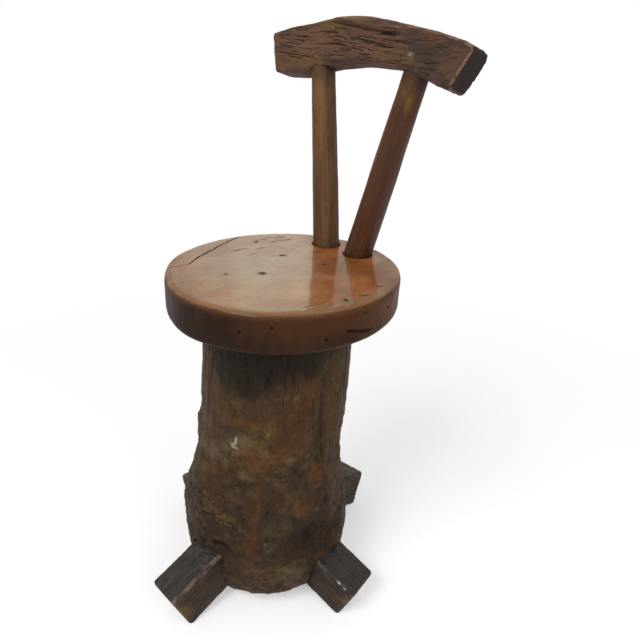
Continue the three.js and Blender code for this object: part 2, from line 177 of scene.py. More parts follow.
def paint(piece, name, cover):
    """Keeps a value from 0 to 1 for each point, for the material to read."""
    layer = piece.data.attributes.new(name, "FLOAT", "POINT")
    layer.data.foreach_set("value", np.clip(cover, 0, 1).astype(np.float32))


def ramp(values, low, high):
    """A smooth rise from 0 at low to 1 at high."""
    share = np.clip((values - low) / (high - low), 0, 1)
    return share * share * (3 - 2 * share)


def mottle(points, size, octaves=3, shift=0.0):
    """Even noise from about -1 to 1 in blobs of this size in millimetres, or of one size for each axis."""
    scaled = points / (np.asarray(size) * MM) + shift
    return np.array([noise.fractal(Vector(point), 1.0, 2.0, octaves) for point in scaled])


def waver(points, size, shifts):
    """Noise in two directions, to shift places by, so that what is drawn there has no even edge."""
    return np.column_stack([mottle(points, size, 3, shift) for shift in shifts])


def brush(points, path, width):
    """How far a stroke along a path covers each point: 1 on the path, 0 at its edges and thin ends."""
    path = np.asarray(path, float)
    cover = np.zeros(len(points))
    near = np.flatnonzero(np.all((points > path.min(0) - width) & (points < path.max(0) + width), 1))
    close = points[near]
    best = np.zeros(len(near))
    lengths = np.linalg.norm(np.diff(path, axis=0), axis=1)
    run = 0.0
    for start, end, length in zip(path[:-1], path[1:], lengths):
        share = np.clip((close - start) @ (end - start) / length ** 2, 0, 1)
        away = np.linalg.norm(close - start - share[:, None] * (end - start), axis=1)
        along = (run + share * length) / lengths.sum()
        half = width / 2 * np.sqrt(np.clip(5 * along * (1 - along), 0.05, 1))
        best = np.maximum(best, 1 - away / half)
        run += length
    cover[near] = best
    return cover


def dab(points, centre, size):
    """How far a round dab covers each point, 1 in its middle. Size is its radius, or one for each axis."""
    away = np.linalg.norm((points - np.asarray(centre)) / np.asarray(size), axis=1)
    return np.clip(1 - away, 0, 1)


def distance_to(points, chosen):
    """How far each point lies from the nearest chosen one."""
    tree = KDTree(int(chosen.sum()))
    for number, point in enumerate(points[chosen]):
        tree.insert(point, number)
    tree.balance()
    return np.array([tree.find(point)[2] for point in points])


def wander(chance, start, run, slope, wobble):
    """A path of four points that runs along the grain with a slight wobble."""
    steps = [0, run / 3, 2 * run / 3, run]
    return [(start[0] + step, start[1] + slope * step + chance.uniform(-wobble, wobble))
            for step in steps]


def finish_piece(piece, material, slot, *nodes):
    """Gives the piece its material, hides the solids it stands for, and hangs it under the root body."""
    piece.data.materials.clear()
    piece.data.materials.append(material)
    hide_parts(*nodes)
    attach(piece, "root")


# Materials. These colours stay as they are, and the others are settings.

SEAT_DIRT = linear("#1d120b")
LOG_BRUISE = linear("#bcae9b")
LOG_DIRT_AND_SHADE = linear("#130d09")
POST_GRIME_AND_SHADOW = linear("#1f150f")
POST_SPLIT = linear("#1b120c")
RAIL_BRUISE = linear("#9a9085")
FOOT_OCHRE = linear("#7e6236")
FOOT_BRUISE = linear("#b9aa9d")
FOOT_SPLIT = linear("#120d0a")
FRESH_WOOD = linear("#a5825a")
FRESH_FIBRE = linear("#7d5a38")
TORN = 0.9       # how far a rough pattern breaks up the edge of a painted layer


def new_material(name):
    """A material without nodes, and its node tree."""
    material = bpy.data.materials.new(name)
    material.use_nodes = True
    material.node_tree.nodes.clear()
    return material, material.node_tree


def pattern(tree, size, detail=3.0, distortion=0.0, where="grain"):
    """Noise whose blobs have this size in millimetres: across the grain, through it and along it."""
    if where == "grain":
        source = add_node(tree, "Attribute", {"attribute_name": "grain"}).outputs["Vector"]
    else:
        source = add_node(tree, "TexCoord").outputs[where]
    mapped = add_node(tree, "Mapping", {"vector_type": "TEXTURE"},
                      {"Vector": source, "Scale": [length * MM for length in size]})
    spots = add_node(tree, "TexNoise", None, {
        "Vector": mapped.outputs["Vector"], "Scale": 1.0, "Detail": detail, "Distortion": distortion})
    return spots.outputs["Fac"]


def painted(tree, name, rough=None, low=0.35, high=0.75):
    """A painted layer, its edges broken up by a rough pattern."""
    value = add_node(tree, "Attribute", {"attribute_name": name}).outputs["Fac"]
    if rough is None:
        return value
    torn = add_node(tree, "Math", {"operation": "MULTIPLY_ADD"}, {0: rough, 1: TORN, 2: value})
    clear = add_node(tree, "MapRange", SMOOTH, {
        "Value": torn.outputs["Value"], "From Min": low + TORN / 2, "From Max": high + TORN / 2})
    return clear.outputs["Result"]


def faded(tree, name, rough):
    """A painted layer that keeps its soft edges and is thinned in places by a rough pattern."""
    value = add_node(tree, "Attribute", {"attribute_name": name}).outputs["Fac"]
    thin = add_node(tree, "MapRange", SMOOTH,
                    {"Value": rough, "From Min": 0.34, "From Max": 0.60, "To Min": 0.25})
    both = add_node(tree, "Math", {"operation": "MULTIPLY"}, {0: value, 1: thin.outputs["Result"]})
    return both.outputs["Value"]


def layered(tree, ground, layers):
    """Colours laid over a ground one by one, each with its cover and the strength of that cover.

    A cover is a value from 0 to 1, or a pattern with the levels at which it begins and is full.
    """
    below = rgba(ground)
    for colour, cover, strength in layers:
        if isinstance(cover, tuple):
            value, low, high = cover
            ranged = add_node(tree, "MapRange", SMOOTH, {"Value": value, "From Min": low, "From Max": high})
            cover = ranged.outputs["Result"]
        thin = add_node(tree, "Math", {"operation": "MULTIPLY"}, {0: cover, 1: strength})
        mixed = add_node(tree, "Mix", {"data_type": "RGBA"},
                         {FACTOR: thin.outputs["Value"], FIRST: below, SECOND: rgba(colour)})
        below = mixed.outputs[RESULT]
    return below


def relief(tree, heights):
    """Bumps from several patterns, each with its height in millimetres."""
    normal = None
    for value, height in heights:
        sockets = {"Height": value, "Distance": height * MM, "Strength": 1.0}
        if normal is not None:
            sockets["Normal"] = normal
        normal = add_node(tree, "Bump", None, sockets).outputs["Normal"]
    return normal


def shade(tree, colour, dullness, heights, sockets):
    """Adds the shader: its colour, a pattern with its least and most roughness, bumps, and other values."""
    value, least, most = dullness
    varied = add_node(tree, "MapRange", None, {"Value": value, "To Min": least, "To Max": most})
    shader = add_node(tree, "BsdfPrincipled", None, {
        "Base Color": colour, "Roughness": varied.outputs["Result"], "Normal": relief(tree, heights),
        **sockets})
    add_node(tree, "OutputMaterial", None, {"Surface": shader.outputs["BSDF"]})


def varnished_hardwood(look):
    """Plain-sawn hardwood under old varnish: orange grain below a film that mirrors its surroundings."""
    material, tree = new_material("varnished_hardwood")
    figure = pattern(tree, (10, 60, 150), detail=4.0, distortion=0.7)    # growth rings, broad on the face
    fibre = pattern(tree, (1.6, 1.6, 40), detail=3.0)                    # fine fibres
    pores = pattern(tree, (1.2, 1.2, 9), detail=1.0)                     # open pores, drawn a little coarse
    blotch = pattern(tree, (34, 34, 46), detail=4.0, distortion=0.5)     # uneven stain
    colour = layered(tree, look.body, [
        (look.grain, (figure, 0.46, 0.66), 0.12),
        (look.light, (figure, 0.48, 0.34), 0.12),
        (look.light, (fibre, 0.52, 0.70), 0.20),
        (look.grain, (fibre, 0.48, 0.32), 0.24),
        (look.grain, (pores, 0.58, 0.70), 0.70),
        (look.grain, (blotch, 0.50, 0.64), 0.24),
        (look.light, (blotch, 0.48, 0.34), 0.24),
        # worn wood, with a painted reflection on the top and a painted highlight on the rim
        (look.bare, faded(tree, "bare", fibre), 0.80),
        # knot halos, and painted shade round the gouge
        (look.grain, faded(tree, "stain", pores), 0.80),
        # the side: its end grain under thin varnish, with painted shade as the side is lit less than the top
        (look.edge, painted(tree, "edge"), 0.95),
        (look.edge_painted_light, faded(tree, "edge_painted_light", blotch), 0.65),
        (look.edge_painted_shade, painted(tree, "edge_painted_shade"), 0.85),
        (look.bare, painted(tree, "chip"), 0.65),
        (SEAT_DIRT, painted(tree, "dark", pores, 0.10, 0.60), 0.90),
    ])
    film = add_node(tree, "MapRange", None, {
        "Value": painted(tree, "gloss"), "To Min": look.film_edge, "To Max": look.film})
    shade(tree, colour, (blotch, 0.42, 0.56), [(fibre, 0.07), (pores, 0.10)], {
        "Specular IOR Level": 0.05, "Coat Weight": film.outputs["Result"], "Coat IOR": 1.5,
        "Coat Roughness": look.film_roughness})
    return material


def burr_wood(look):
    """The log's own skin: stripped burr wood, darkened by handling, rusty heartwood in worn places, painted
    shade in hollows and under the seat, and painted highlights on swellings.
    """
    material, tree = new_material("stripped_burr_wood")
    cloud = pattern(tree, (62, 62, 74), detail=3.0, distortion=0.6)      # large stains
    blotch = pattern(tree, (24, 24, 30), detail=5.0, distortion=0.8)
    clots = pattern(tree, (8, 8, 10), detail=4.0, distortion=0.7)        # burr figure
    specks = pattern(tree, (2.8, 2.8, 3.6), detail=3.0)                  # grit
    fibre = pattern(tree, (2.4, 2.4, 60), detail=3.0)                    # grain of the straight upper part
    colour = layered(tree, look.body, [
        (look.dark, (cloud, 0.48, 0.64), 0.45),
        (look.red, (blotch, 0.50, 0.66), 0.55),
        (look.dark, (blotch, 0.46, 0.32), 0.50),
        (look.light, (clots, 0.53, 0.70), 0.32),
        (look.dark, (clots, 0.46, 0.30), 0.36),
        (look.light, (fibre, 0.54, 0.70), 0.22),
        (look.light, (specks, 0.58, 0.74), 0.30),
        # painted highlight on the swellings of the burr
        (look.light, painted(tree, "rubbed"), 0.45),
        (look.low, faded(tree, "low", blotch), 0.75),
        (look.ochre, faded(tree, "ochre", clots), 0.68),
        (look.rust, faded(tree, "rust", clots), 0.62),
        (look.dust, faded(tree, "dust", clots), 0.55),
        (look.soot_and_shadow, faded(tree, "shade", clots), 0.80),
        (look.soot_and_shadow, painted(tree, "soot_and_shadow"), 0.85),
        (LOG_BRUISE, painted(tree, "chip", specks, 0.20, 1.20), 0.65),
        # dirt and painted shade in hollows, creases and fissures, and painted shadow in the mortise gap
        (LOG_DIRT_AND_SHADE, painted(tree, "pit", specks, 0.20, 0.95), 0.85),
    ])
    shade(tree, colour, (clots, 0.50, 0.75), [(clots, 2.0), (specks, 0.9), (fibre, 0.5)],
          {"Specular IOR Level": 0.12})
    return material


def oiled_post_wood(look, name, body, dark):
    """A shaved hardwood post, oiled and rubbed by hands: fine fibres, soft streaks, ochre where bare."""
    material, tree = new_material(name)
    fibre = pattern(tree, (1.5, 1.5, 46), detail=3.0)                    # fibres
    streak = pattern(tree, (6, 6, 110), detail=4.0, distortion=0.3)      # broad streaks
    pores = pattern(tree, (1.0, 1.0, 9), detail=1.0)
    blotch = pattern(tree, (15, 15, 34), detail=4.0, distortion=0.4)
    colour = layered(tree, body, [
        (dark, (streak, 0.46, 0.64), 0.60),
        (dark, (blotch, 0.46, 0.34), 0.55),
        (look.red, (blotch, 0.50, 0.66), 0.40),
        (look.light, (fibre, 0.54, 0.74), 0.30),
        (dark, (pores, 0.54, 0.68), 0.60),
        (look.ochre, faded(tree, "ochre", blotch), 0.80),
        # dry fibres, and a painted sheen on the right post's edge
        (look.light, faded(tree, "dry", fibre), 0.45),
        (POST_GRIME_AND_SHADOW, faded(tree, "grime_and_shadow", blotch), 0.75),
        (POST_SPLIT, painted(tree, "check", fibre, 0.25, 0.85), 0.75),
    ])
    shade(tree, colour, (blotch, 0.40, 0.60), [(fibre, 0.25), (pores, 0.12)], {"Specular IOR Level": 0.2})
    return material


def weathered_rail_wood(look):
    """Hardwood left out in the weather: checked along the grain, dry and matt, its arrises worn pale."""
    material, tree = new_material("weathered_hardwood")
    fibre = pattern(tree, (1.5, 1.5, 34), detail=3.0)                    # raised fibres
    lines = pattern(tree, (2.0, 2.4, 30), detail=2.0, distortion=0.4)    # fine checks between the deep ones
    blotch = pattern(tree, (13, 13, 30), detail=4.0, distortion=0.5)
    cloud = pattern(tree, (40, 40, 70), detail=3.0)                      # damp and dry parts
    grit = pattern(tree, (2.2, 2.2, 4), detail=3.0)
    colour = layered(tree, look.body, [
        (look.dark, (cloud, 0.46, 0.62), 0.55),
        (look.dark, (blotch, 0.48, 0.64), 0.45),
        (look.red, (blotch, 0.46, 0.34), 0.30),
        (look.light, (fibre, 0.52, 0.72), 0.45),
        # raised fibres, and a painted highlight on the lower lip of each check
        (look.light, painted(tree, "raised"), 0.55),
        (look.crack, (lines, 0.55, 0.66), 0.60),
        (look.ochre, faded(tree, "ochre", grit), 0.50),
        (look.dark, faded(tree, "damp", blotch), 0.85),
        (look.worn, painted(tree, "worn", grit, 0.35, 0.90), 0.65),
        (look.pink_and_reflection, faded(tree, "pink_and_reflection", blotch), 0.70),
        (RAIL_BRUISE, faded(tree, "chip", grit), 0.80),
        (look.end, painted(tree, "end"), 0.92),
        (look.crack, painted(tree, "check", fibre, 0.15, 0.70), 0.90),
    ])
    shade(tree, colour, (grit, 0.62, 0.85), [(lines, 0.8), (fibre, 0.5), (grit, 0.4)],
          {"Specular IOR Level": 0.2})
    return material


def weathered_foot_wood(look):
    """A hewn block on damp ground: sooty grey on top, in part a painted reflection of the sky, brown at its
    sides, pale where it is kicked.
    """
    material, tree = new_material("hewn_block_wood")
    fibre = pattern(tree, (1.7, 1.7, 44), detail=3.0)
    blotch = pattern(tree, (16, 16, 30), detail=4.0, distortion=0.5)
    grit = pattern(tree, (2.4, 2.4, 5), detail=3.0)
    colour = layered(tree, look.side, [
        (look.side_dark, (blotch, 0.40, 0.60), 0.80),
        (look.worn, (fibre, 0.60, 0.78), 0.14),
        (look.top, painted(tree, "top"), 0.95),
        (look.top_light, faded(tree, "grey", blotch), 0.60),
        (look.side_dark, faded(tree, "shade", blotch), 0.80),
        (look.worn, painted(tree, "worn", grit, 0.20, 0.80), 0.75),
        (FOOT_OCHRE, faded(tree, "ochre", grit), 0.75),
        (FOOT_BRUISE, painted(tree, "chip", grit), 0.75),
        (FOOT_SPLIT, painted(tree, "check", fibre, 0.2, 0.7), 0.85),
    ])
    shade(tree, colour, (blotch, 0.50, 0.75), [(fibre, 0.4), (grit, 0.4)], {"Specular IOR Level": 0.25})
    return material


def pale_inner_wood():
    """Split hardwood of the dowels, pegs and wedges, which has kept its fresh pale colour."""
    material, tree = new_material("split_dowel_wood")
    fibre = pattern(tree, (1.2, 1.2, 30), detail=3.0, where="Object")
    colour = layered(tree, FRESH_WOOD, [
        (FRESH_FIBRE, (fibre, 0.42, 0.66), 0.8),
    ])
    shader = add_node(tree, "BsdfPrincipled", None, {
        "Base Color": colour, "Roughness": 0.7, "Normal": relief(tree, [(fibre, 0.2)])})
    add_node(tree, "OutputMaterial", None, {"Surface": shader.outputs["BSDF"]})
    return material


# Seat slab. Places on it are in millimetres from its centre, seen from above.

SEAT_GRAIN = 95.0        # degrees, the direction of the grain
SEAT_CRACK = [
    (-93, -116, 0.6), (-90, -103, 0.9), (-88, -91, 1.1), (-86, -81, 1.6), (-94, -66, 2.5), (-102, -50, 3.2),
    (-110, -28, 3.0), (-120, -3, 2.6), (-128, 20, 2.8), (-134, 43, 3.4), (-139, 62, 3.6),
]
SEAT_KNOTS = [
    # place, radius, depth, darkness
    (-33, 30, 4.2, 0.8, 0.9), (-1, -34, 4.6, 0.9, 0.9), (-28, -69, 5.0, 0.3, 0.5),
    (-101, 43, 5.0, 0.3, 0.7), (27, 45, 3.5, 0.4, 0.9), (124, -22, 5.5, 0.4, 0.8),
    (-84, 62, 4.0, 0.2, 0.6), (-64, 4, 3.0, 0.2, 0.5),
]
SEAT_SCRATCHES = [
    [(-107, 62), (-99, 70), (-94, 80)], [(-99, 79), (-92, 90)], [(-85, 68), (-79, 77), (-76, 88)],
    [(-91, 74), (-84, 86)], [(-91, -12), (-88, 4), (-84, 17)], [(-76, 22), (-73, 36)],
    [(-104, 52), (-96, 60)],
    [(124, -1), (128, 4), (132, 12)], [(121, 36), (126, 43)],
]
SEAT_CHIPS = [
    [(-66, -128), (-50, -135), (-30, -141)], [(-24, -143), (-8, -145)],
    [(114, -80), (119, -64), (122, -48)], [(107, -74), (112, -60), (116, -44)],
]
SEAT_GOUGE = [(-15, 463), (-10, 459), (-5, 455), (1, 453)]     # azimuth in degrees, height
SEAT_HOLES = [(-4.3, 478, 1.8), (-24, 456, 1.6), (14, 470, 1.5), (-62, 466, 1.5), (-48, 474, 1.2)]


def around(points, axis, radius, face):
    """Points unrolled from a round piece: the distance round it from its face, and the height."""
    off = points[:, :2] - axis
    turn = np.degrees(np.arctan2(off[:, 1], off[:, 0])) - face
    turn = (turn + 180) % 360 - 180
    return np.column_stack([np.radians(turn) * radius, points[:, 2]])


def unroll(azimuth, height, radius, face):
    """One place on a round piece, in the same unrolled lengths."""
    turn = (azimuth - face + 180) % 360 - 180
    return (math.radians(turn) * radius, height * MM)


def crack_cutter(chance, depth):
    """A thin closed wedge that follows the crack through the rim of the slab."""
    rows = []
    steps = 4
    for (x0, y0, wide0), (x1, y1, wide1) in zip(SEAT_CRACK[:-1], SEAT_CRACK[1:]):
        along = Vector((x1 - x0, y1 - y0)).normalized()
        for step in range(steps):
            share = step / steps
            stray = chance.uniform(-0.5, 0.5)
            wide = (wide0 + (wide1 - wide0) * share) * chance.uniform(0.75, 1.25)
            middle = Vector((x0 + (x1 - x0) * share, y0 + (y1 - y0) * share))
            aside = Vector((-along.y, along.x))
            rows.append((middle + aside * stray, aside * wide / 2))
    top, bottom = SEAT_TOP + 4 * MM, SEAT_TOP - depth
    verts = []
    for middle, half in rows:
        for spot, level in ((middle + half, top), (middle - half, top), (middle, bottom)):
            verts.append((SEAT_CENTRE[0] + spot.x * MM, SEAT_CENTRE[1] + spot.y * MM, level))
    faces = [(0, 1, 2), (len(verts) - 1, len(verts) - 2, len(verts) - 3)]
    for row in range(0, len(verts) - 3, 3):
        for a, b in ((0, 1), (1, 2), (2, 0)):
            faces.append((row + b, row + a, row + 3 + a, row + 3 + b))
    mesh = bpy.data.meshes.new("crack_cutter")
    mesh.from_pydata(verts, [], faces)
    cutter = bpy.data.objects.new("crack_cutter", mesh)
    bpy.context.scene.collection.objects.link(cutter)
    choose(cutter)
    bpy.ops.object.mode_set(mode="EDIT")
    bpy.ops.mesh.select_all(action="SELECT")
    bpy.ops.mesh.normals_make_consistent(inside=False)
    bpy.ops.object.mode_set(mode="OBJECT")
    return cutter


def carve_seat(look):
    """The seat slab: split by one long crack, dented and scratched, its lower edge gouged."""
    chance = random.Random(11)
    slab = blank("seat_slab", "varnished_seat_slab", SEAT_PITCH, 5)
    cutter = crack_cutter(chance, look.crack_depth)
    modify(slab, "BOOLEAN", operation="DIFFERENCE", solver="MANIFOLD", object=cutter)
    bpy.data.objects.remove(cutter)

    points, normals = points_of(slab), normals_of(slab)
    flat = (points[:, :2] - SEAT_CENTRE) / MM
    rim = around(points, SEAT_CENTRE, SEAT_RADIUS, 0.0)
    top = ramp(normals[:, 2], 0.35, 0.85)
    side = 1 - ramp(np.abs(normals[:, 2]), 0.35, 0.85)
    out = np.hypot(flat[:, 0], flat[:, 1]) * MM

    height = mottle(points, 55, 2) * 0.30 * MM * top
    height += mottle(points, [26, 26, 60], 3) * 0.55 * MM * side
    edge = ramp(out, SEAT_RADIUS - 16 * MM, SEAT_RADIUS) * ramp(points[:, 2], SEAT_TOP - 12 * MM, SEAT_TOP)
    height += mottle(points, 24, 2, 5.0) * 0.5 * MM * edge

    turn = math.radians(SEAT_GRAIN)
    grain = np.array([math.cos(turn), math.sin(turn)])
    across = np.array([-grain[1], grain[0]])
    dark = np.zeros(len(points))
    stain = np.zeros(len(points))
    stray = waver(points, 6, (2.0, 8.0)) * 3
    for x, y, radius, depth, darkness in SEAT_KNOTS:
        spot = dab(flat + stray, (x, y), 2.4 * radius) * top
        core = ramp(spot, 0.55, 0.85)
        height -= core * depth * MM
        dark = np.maximum(dark, core * darkness)
        stain = np.maximum(stain, ramp(spot, 0.0, 0.5) * darkness)
    for path in SEAT_SCRATCHES:
        cut = brush(flat + 0.5 * stray, path, 3.6) * top
        height -= cut * 0.5 * MM
        dark = np.maximum(dark, ramp(cut, 0.1, 0.7))
    chip = np.zeros(len(points))
    for path in SEAT_CHIPS:
        off = brush(flat + 0.5 * stray, path, 3.0) * ramp(points[:, 2], SEAT_TOP - 7 * MM, SEAT_TOP - 3 * MM)
        height -= off * 0.5 * MM
        chip = np.maximum(chip, off * 0.9)

    uneven = rim + stray * 0.6 * MM
    gouge = brush(uneven, [unroll(a, z, SEAT_RADIUS, 0) for a, z in SEAT_GOUGE], 5 * MM) * side
    height -= ramp(gouge, 0, 0.8) * 4.0 * MM
    dark = np.maximum(dark, ramp(gouge, 0.1, 0.8) * 0.85)
    # Painted shade round and below the gouge
    stain = np.maximum(stain, dab(rim, unroll(-13, 452, SEAT_RADIUS, 0), (28 * MM, 14 * MM)) * side)
    for azimuth, level, radius in SEAT_HOLES:
        hole = dab(rim, unroll(azimuth, level, SEAT_RADIUS, 0), 1.6 * radius * MM) * side
        height -= ramp(hole, 0, 0.6) * 2.5 * MM
        dark = np.maximum(dark, ramp(hole, 0.1, 0.6))
    raise_skin(slab, height)

    crack = brush(flat, [spot[:2] for spot in SEAT_CRACK], 5.0)
    below = ramp(SEAT_TOP - points[:, 2], 0.8 * MM, 3 * MM) * ramp(crack, 0.3, 0.6)
    bases = np.zeros(len(points))
    for node in ("back_post_left", "back_post_right"):
        bases = np.maximum(bases, ramp(-post_distance(node, points), -5 * MM, -1 * MM) * top)
    dark = np.maximum(dark, np.maximum(below, bases * 0.85))
    paint(slab, "dark", dark)
    paint(slab, "stain", stain)
    paint(slab, "chip", chip)
    # Paler where the varnish is worn, beyond the crack and near the rim; the broad patch on the top is also
    # a painted reflection of the window, and the rim's rounding a painted highlight
    behind = ramp(side_of_crack(flat), 0, 4) * top
    worn_and_reflected = dab(flat, (-46, -40), 150) * top
    rim_top = ramp(points[:, 2], SEAT_TOP - 12 * MM, SEAT_TOP - 6 * MM)
    rim_highlight = (1 - ramp(normals[:, 2], 0.90, 0.995)) * rim_top
    rubbed_rim = ramp(out, SEAT_RADIUS - 24 * MM, SEAT_RADIUS - 13 * MM) * rim_top
    paint(slab, "bare", np.maximum.reduce([behind * 0.8, worn_and_reflected, rim_highlight * 0.9, rubbed_rim * 0.8]))
    # The side is painted darker than the top: its end grain, and painted shade for a side that is lit less
    paint(slab, "edge", 1 - ramp(normals[:, 2], 0.50, 0.92))
    rubbed = 1 + mottle(points, 16, 3, 11.0) * edge - dab(flat, (0, -125), 75) * 0.3
    paint(slab, "gloss", ramp(normals[:, 2], 0.25, 0.75) * rubbed * (1 - ramp(dark, 0, 0.35)))
    # Painted light: the lit part of the side, from about -25 to 100 degrees round from +X, and a band just
    # under the rim are painted lighter
    face = np.degrees(np.arctan2(flat[:, 1], flat[:, 0]))
    level = (SEAT_TOP - points[:, 2]) / MM
    sunny = ramp(face, -25, 20) * (1 - ramp(face, 70, 140)) + (1 - ramp(level, 4, 11)) * 0.5
    paint(slab, "edge_painted_light", sunny)
    # Painted shade: the side round 105 degrees from +X towards -Y, and its lower part, are painted darker
    far_side = 1 - ramp(np.abs((face + 105 + 180) % 360 - 180), 20, 75)
    patchy = np.clip(1 + mottle(points, [16, 16, 60], 3, 13.0), 0.75, 1.4)
    paint(slab, "edge_painted_shade", (far_side + 0.5 * ramp(level, 16, 40)) * ramp(level, 3, 12) * side * patchy)
    lay_grain(slab, [*across, 0], [0, 0, 1], [*grain, 0])
    finish_piece(slab, varnished_hardwood(look), "varnished_wood", "seat_slab")


def side_of_crack(flat):
    """How far each place lies beyond the crack, towards the slab's rim, in millimetres."""
    ends = [np.array(SEAT_CRACK[place][:2], float) for place in (3, -1)]
    along = (ends[1] - ends[0]) / np.linalg.norm(ends[1] - ends[0])
    beyond = (flat - ends[0]) @ np.array([-along[1], along[0]])
    first = np.array(SEAT_CRACK[0][:2], float)
    short = (ends[0] - first) / np.linalg.norm(ends[0] - first)
    return np.minimum(beyond, (flat - first) @ np.array([-short[1], short[0]]))


def lay_grain(piece, across, through, along):
    """Keeps each point's place along and across the grain, for the material's patterns to follow."""
    turned = points_of(piece) @ np.array([across, through, along], float).T
    layer = piece.data.attributes.new("grain", "FLOAT_VECTOR", "POINT")
    layer.data.foreach_set("vector", turned.astype(np.float32).ravel())


# Posts

POST_RADIUS = 16 * MM            # on which a post's skin is unrolled
POST_FOOT_RADIUS = 17 * MM       # at the seat's top
RAIL_SOCKET_RADIUS = 18 * MM     # the rail isn't carved closer to a post's middle


def post_axis(node):
    """The middle of a post's lower end, and the direction in which it runs up."""
    points = points_of(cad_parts[node])
    low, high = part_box(node)
    foot = points[points[:, 2] < low.z + 6 * MM]
    head = points[points[:, 2] > high.z - 6 * MM]
    start = (foot.min(0) + foot.max(0)) / 2
    axis = (head.min(0) + head.max(0)) / 2 - start
    return start, axis / np.linalg.norm(axis)


def post_distance(node, points):
    """How far points of the seat's top lie outside a post's skin."""
    start, axis = post_axis(node)
    level = (SEAT_TOP - start[2]) / axis[2]
    base = start + axis * level
    return np.linalg.norm(points[:, :2] - base[:2], axis=1) - POST_FOOT_RADIUS


# Dry streaks, and on the right post a painted sheen along its edge: azimuth, from, to along the post. Bare
# ochre wood: azimuth, place along the post, its radii.
POST_DRY_AND_SHEEN = {
    "back_post_left": [(-62, 60, 250), (-62, 190, 292), (-30, 80, 170), (-48, 56, 96)],
    "back_post_right": [(-135, 56, 190), (-128, 150, 290)],
}
POST_OCHRE = {"back_post_left": (-70, 240, 10, 70), "back_post_right": (-80, 262, 16, 26)}


def carve_post(look, node, name, body, dark, seed):
    """A post shaved to long facets, with a few fine checks and a handled surface."""
    chance = random.Random(seed)
    post = blank(node, name, POST_PITCH, 3)
    start, axis = post_axis(node)
    sideways = np.cross([0, 1, 0], axis)
    sideways /= np.linalg.norm(sideways)
    back = np.cross(axis, sideways)
    local = (points_of(post) - start) @ np.array([sideways, back, axis]).T
    turn = np.arctan2(local[:, 1], local[:, 0])
    skin = np.column_stack([turn * POST_RADIUS, local[:, 2]])

    height = mottle(local, [9, 9, 90], 3, seed) * 0.5 * MM
    height += mottle(local, [5, 5, 24], 2, seed) * 0.22 * MM
    checks = np.zeros(len(local))
    for _ in range(look.checks):
        first = (chance.uniform(-math.pi, math.pi) * POST_RADIUS, chance.uniform(60, 260) * MM)
        run = chance.uniform(15, 60) * MM
        path = [(x, y) for y, x in wander(chance, first[::-1], run, chance.gauss(0, 0.01), 0.5 * MM)]
        checks = np.maximum(checks, brush(skin, path, 1.8 * MM) * chance.uniform(0.3, 0.9))
    height -= checks * 0.8 * MM
    shown = ramp(local[:, 2], 52 * MM, 56 * MM)
    raise_skin(post, height * shown)
    paint(post, "check", checks)
    dry = np.zeros(len(local))
    for azimuth, low, high in POST_DRY_AND_SHEEN[node]:
        aside = math.radians(azimuth) * POST_RADIUS
        dry = np.maximum(dry, brush(skin, [(aside, low * MM), (aside, high * MM)], 11 * MM))
    paint(post, "dry", dry)
    azimuth, along, wide, long = POST_OCHRE[node]
    spot = (math.radians(azimuth) * POST_RADIUS, along * MM)
    paint(post, "ochre", dab(skin, spot, (wide * MM, long * MM)) ** 0.6)
    up = points_of(post)[:, 2] - SEAT_TOP
    # Grime at the foot of the post, and painted shadow under the rail at its top
    paint(post, "grime_and_shadow", np.maximum((1 - ramp(up, 1 * MM, 7 * MM)) * 0.8, ramp(up, 200 * MM, 226 * MM)))
    lay_grain(post, sideways, back, axis)
    finish_piece(post, oiled_post_wood(look, name + "_wood", body, dark), "post_wood", node)


# Crest rail. Places on its front are in millimetres from its middle and from its lowest point.

RAIL_LIP = [(-53, 75), (-40, 74), (-15, 71), (11, 68), (38, 65), (62, 64)]
RAIL_CHECKS = [
    # path along the front face, width, depth
    ([(-13, 56), (-1, 57), (24, 53), (53, 48)], 2.6, 3.2),
    ([(-71, 49), (-35, 50), (-19, 49)], 2.2, 2.6),
    ([(-114, 56), (-94, 57), (-79, 55)], 2.2, 2.4),
    ([(-150, 57), (-124, 57)], 2.0, 2.2),
    ([(-68, 64), (-50, 63), (-33, 62)], 2.2, 2.4),
    ([(-43, 59), (-21, 57)], 2.0, 2.2),
    ([(28, 63), (58, 62)], 2.4, 2.6),
    ([(-146, 45), (-112, 43)], 2.2, 2.4),
    ([(-41, 50), (-14, 48)], 1.9, 2.2),
    ([(-28, 44), (-10, 43)], 2.0, 2.2),
    ([(-8, 47), (13, 43)], 2.0, 2.2),
    ([(27, 49), (58, 49)], 2.2, 2.4),
    ([(44, 56), (73, 56)], 2.0, 2.2),
    ([(89, 44), (111, 43)], 2.2, 2.4),
    ([(111, 51), (130, 51)], 2.0, 2.0),
    ([(101, 34), (123, 35)], 1.8, 1.8),
    ([(-150, 36), (-128, 35), (-106, 34)], 2.0, 2.0),
    ([(-108, 52), (-90, 53), (-72, 52)], 1.8, 2.0),
]


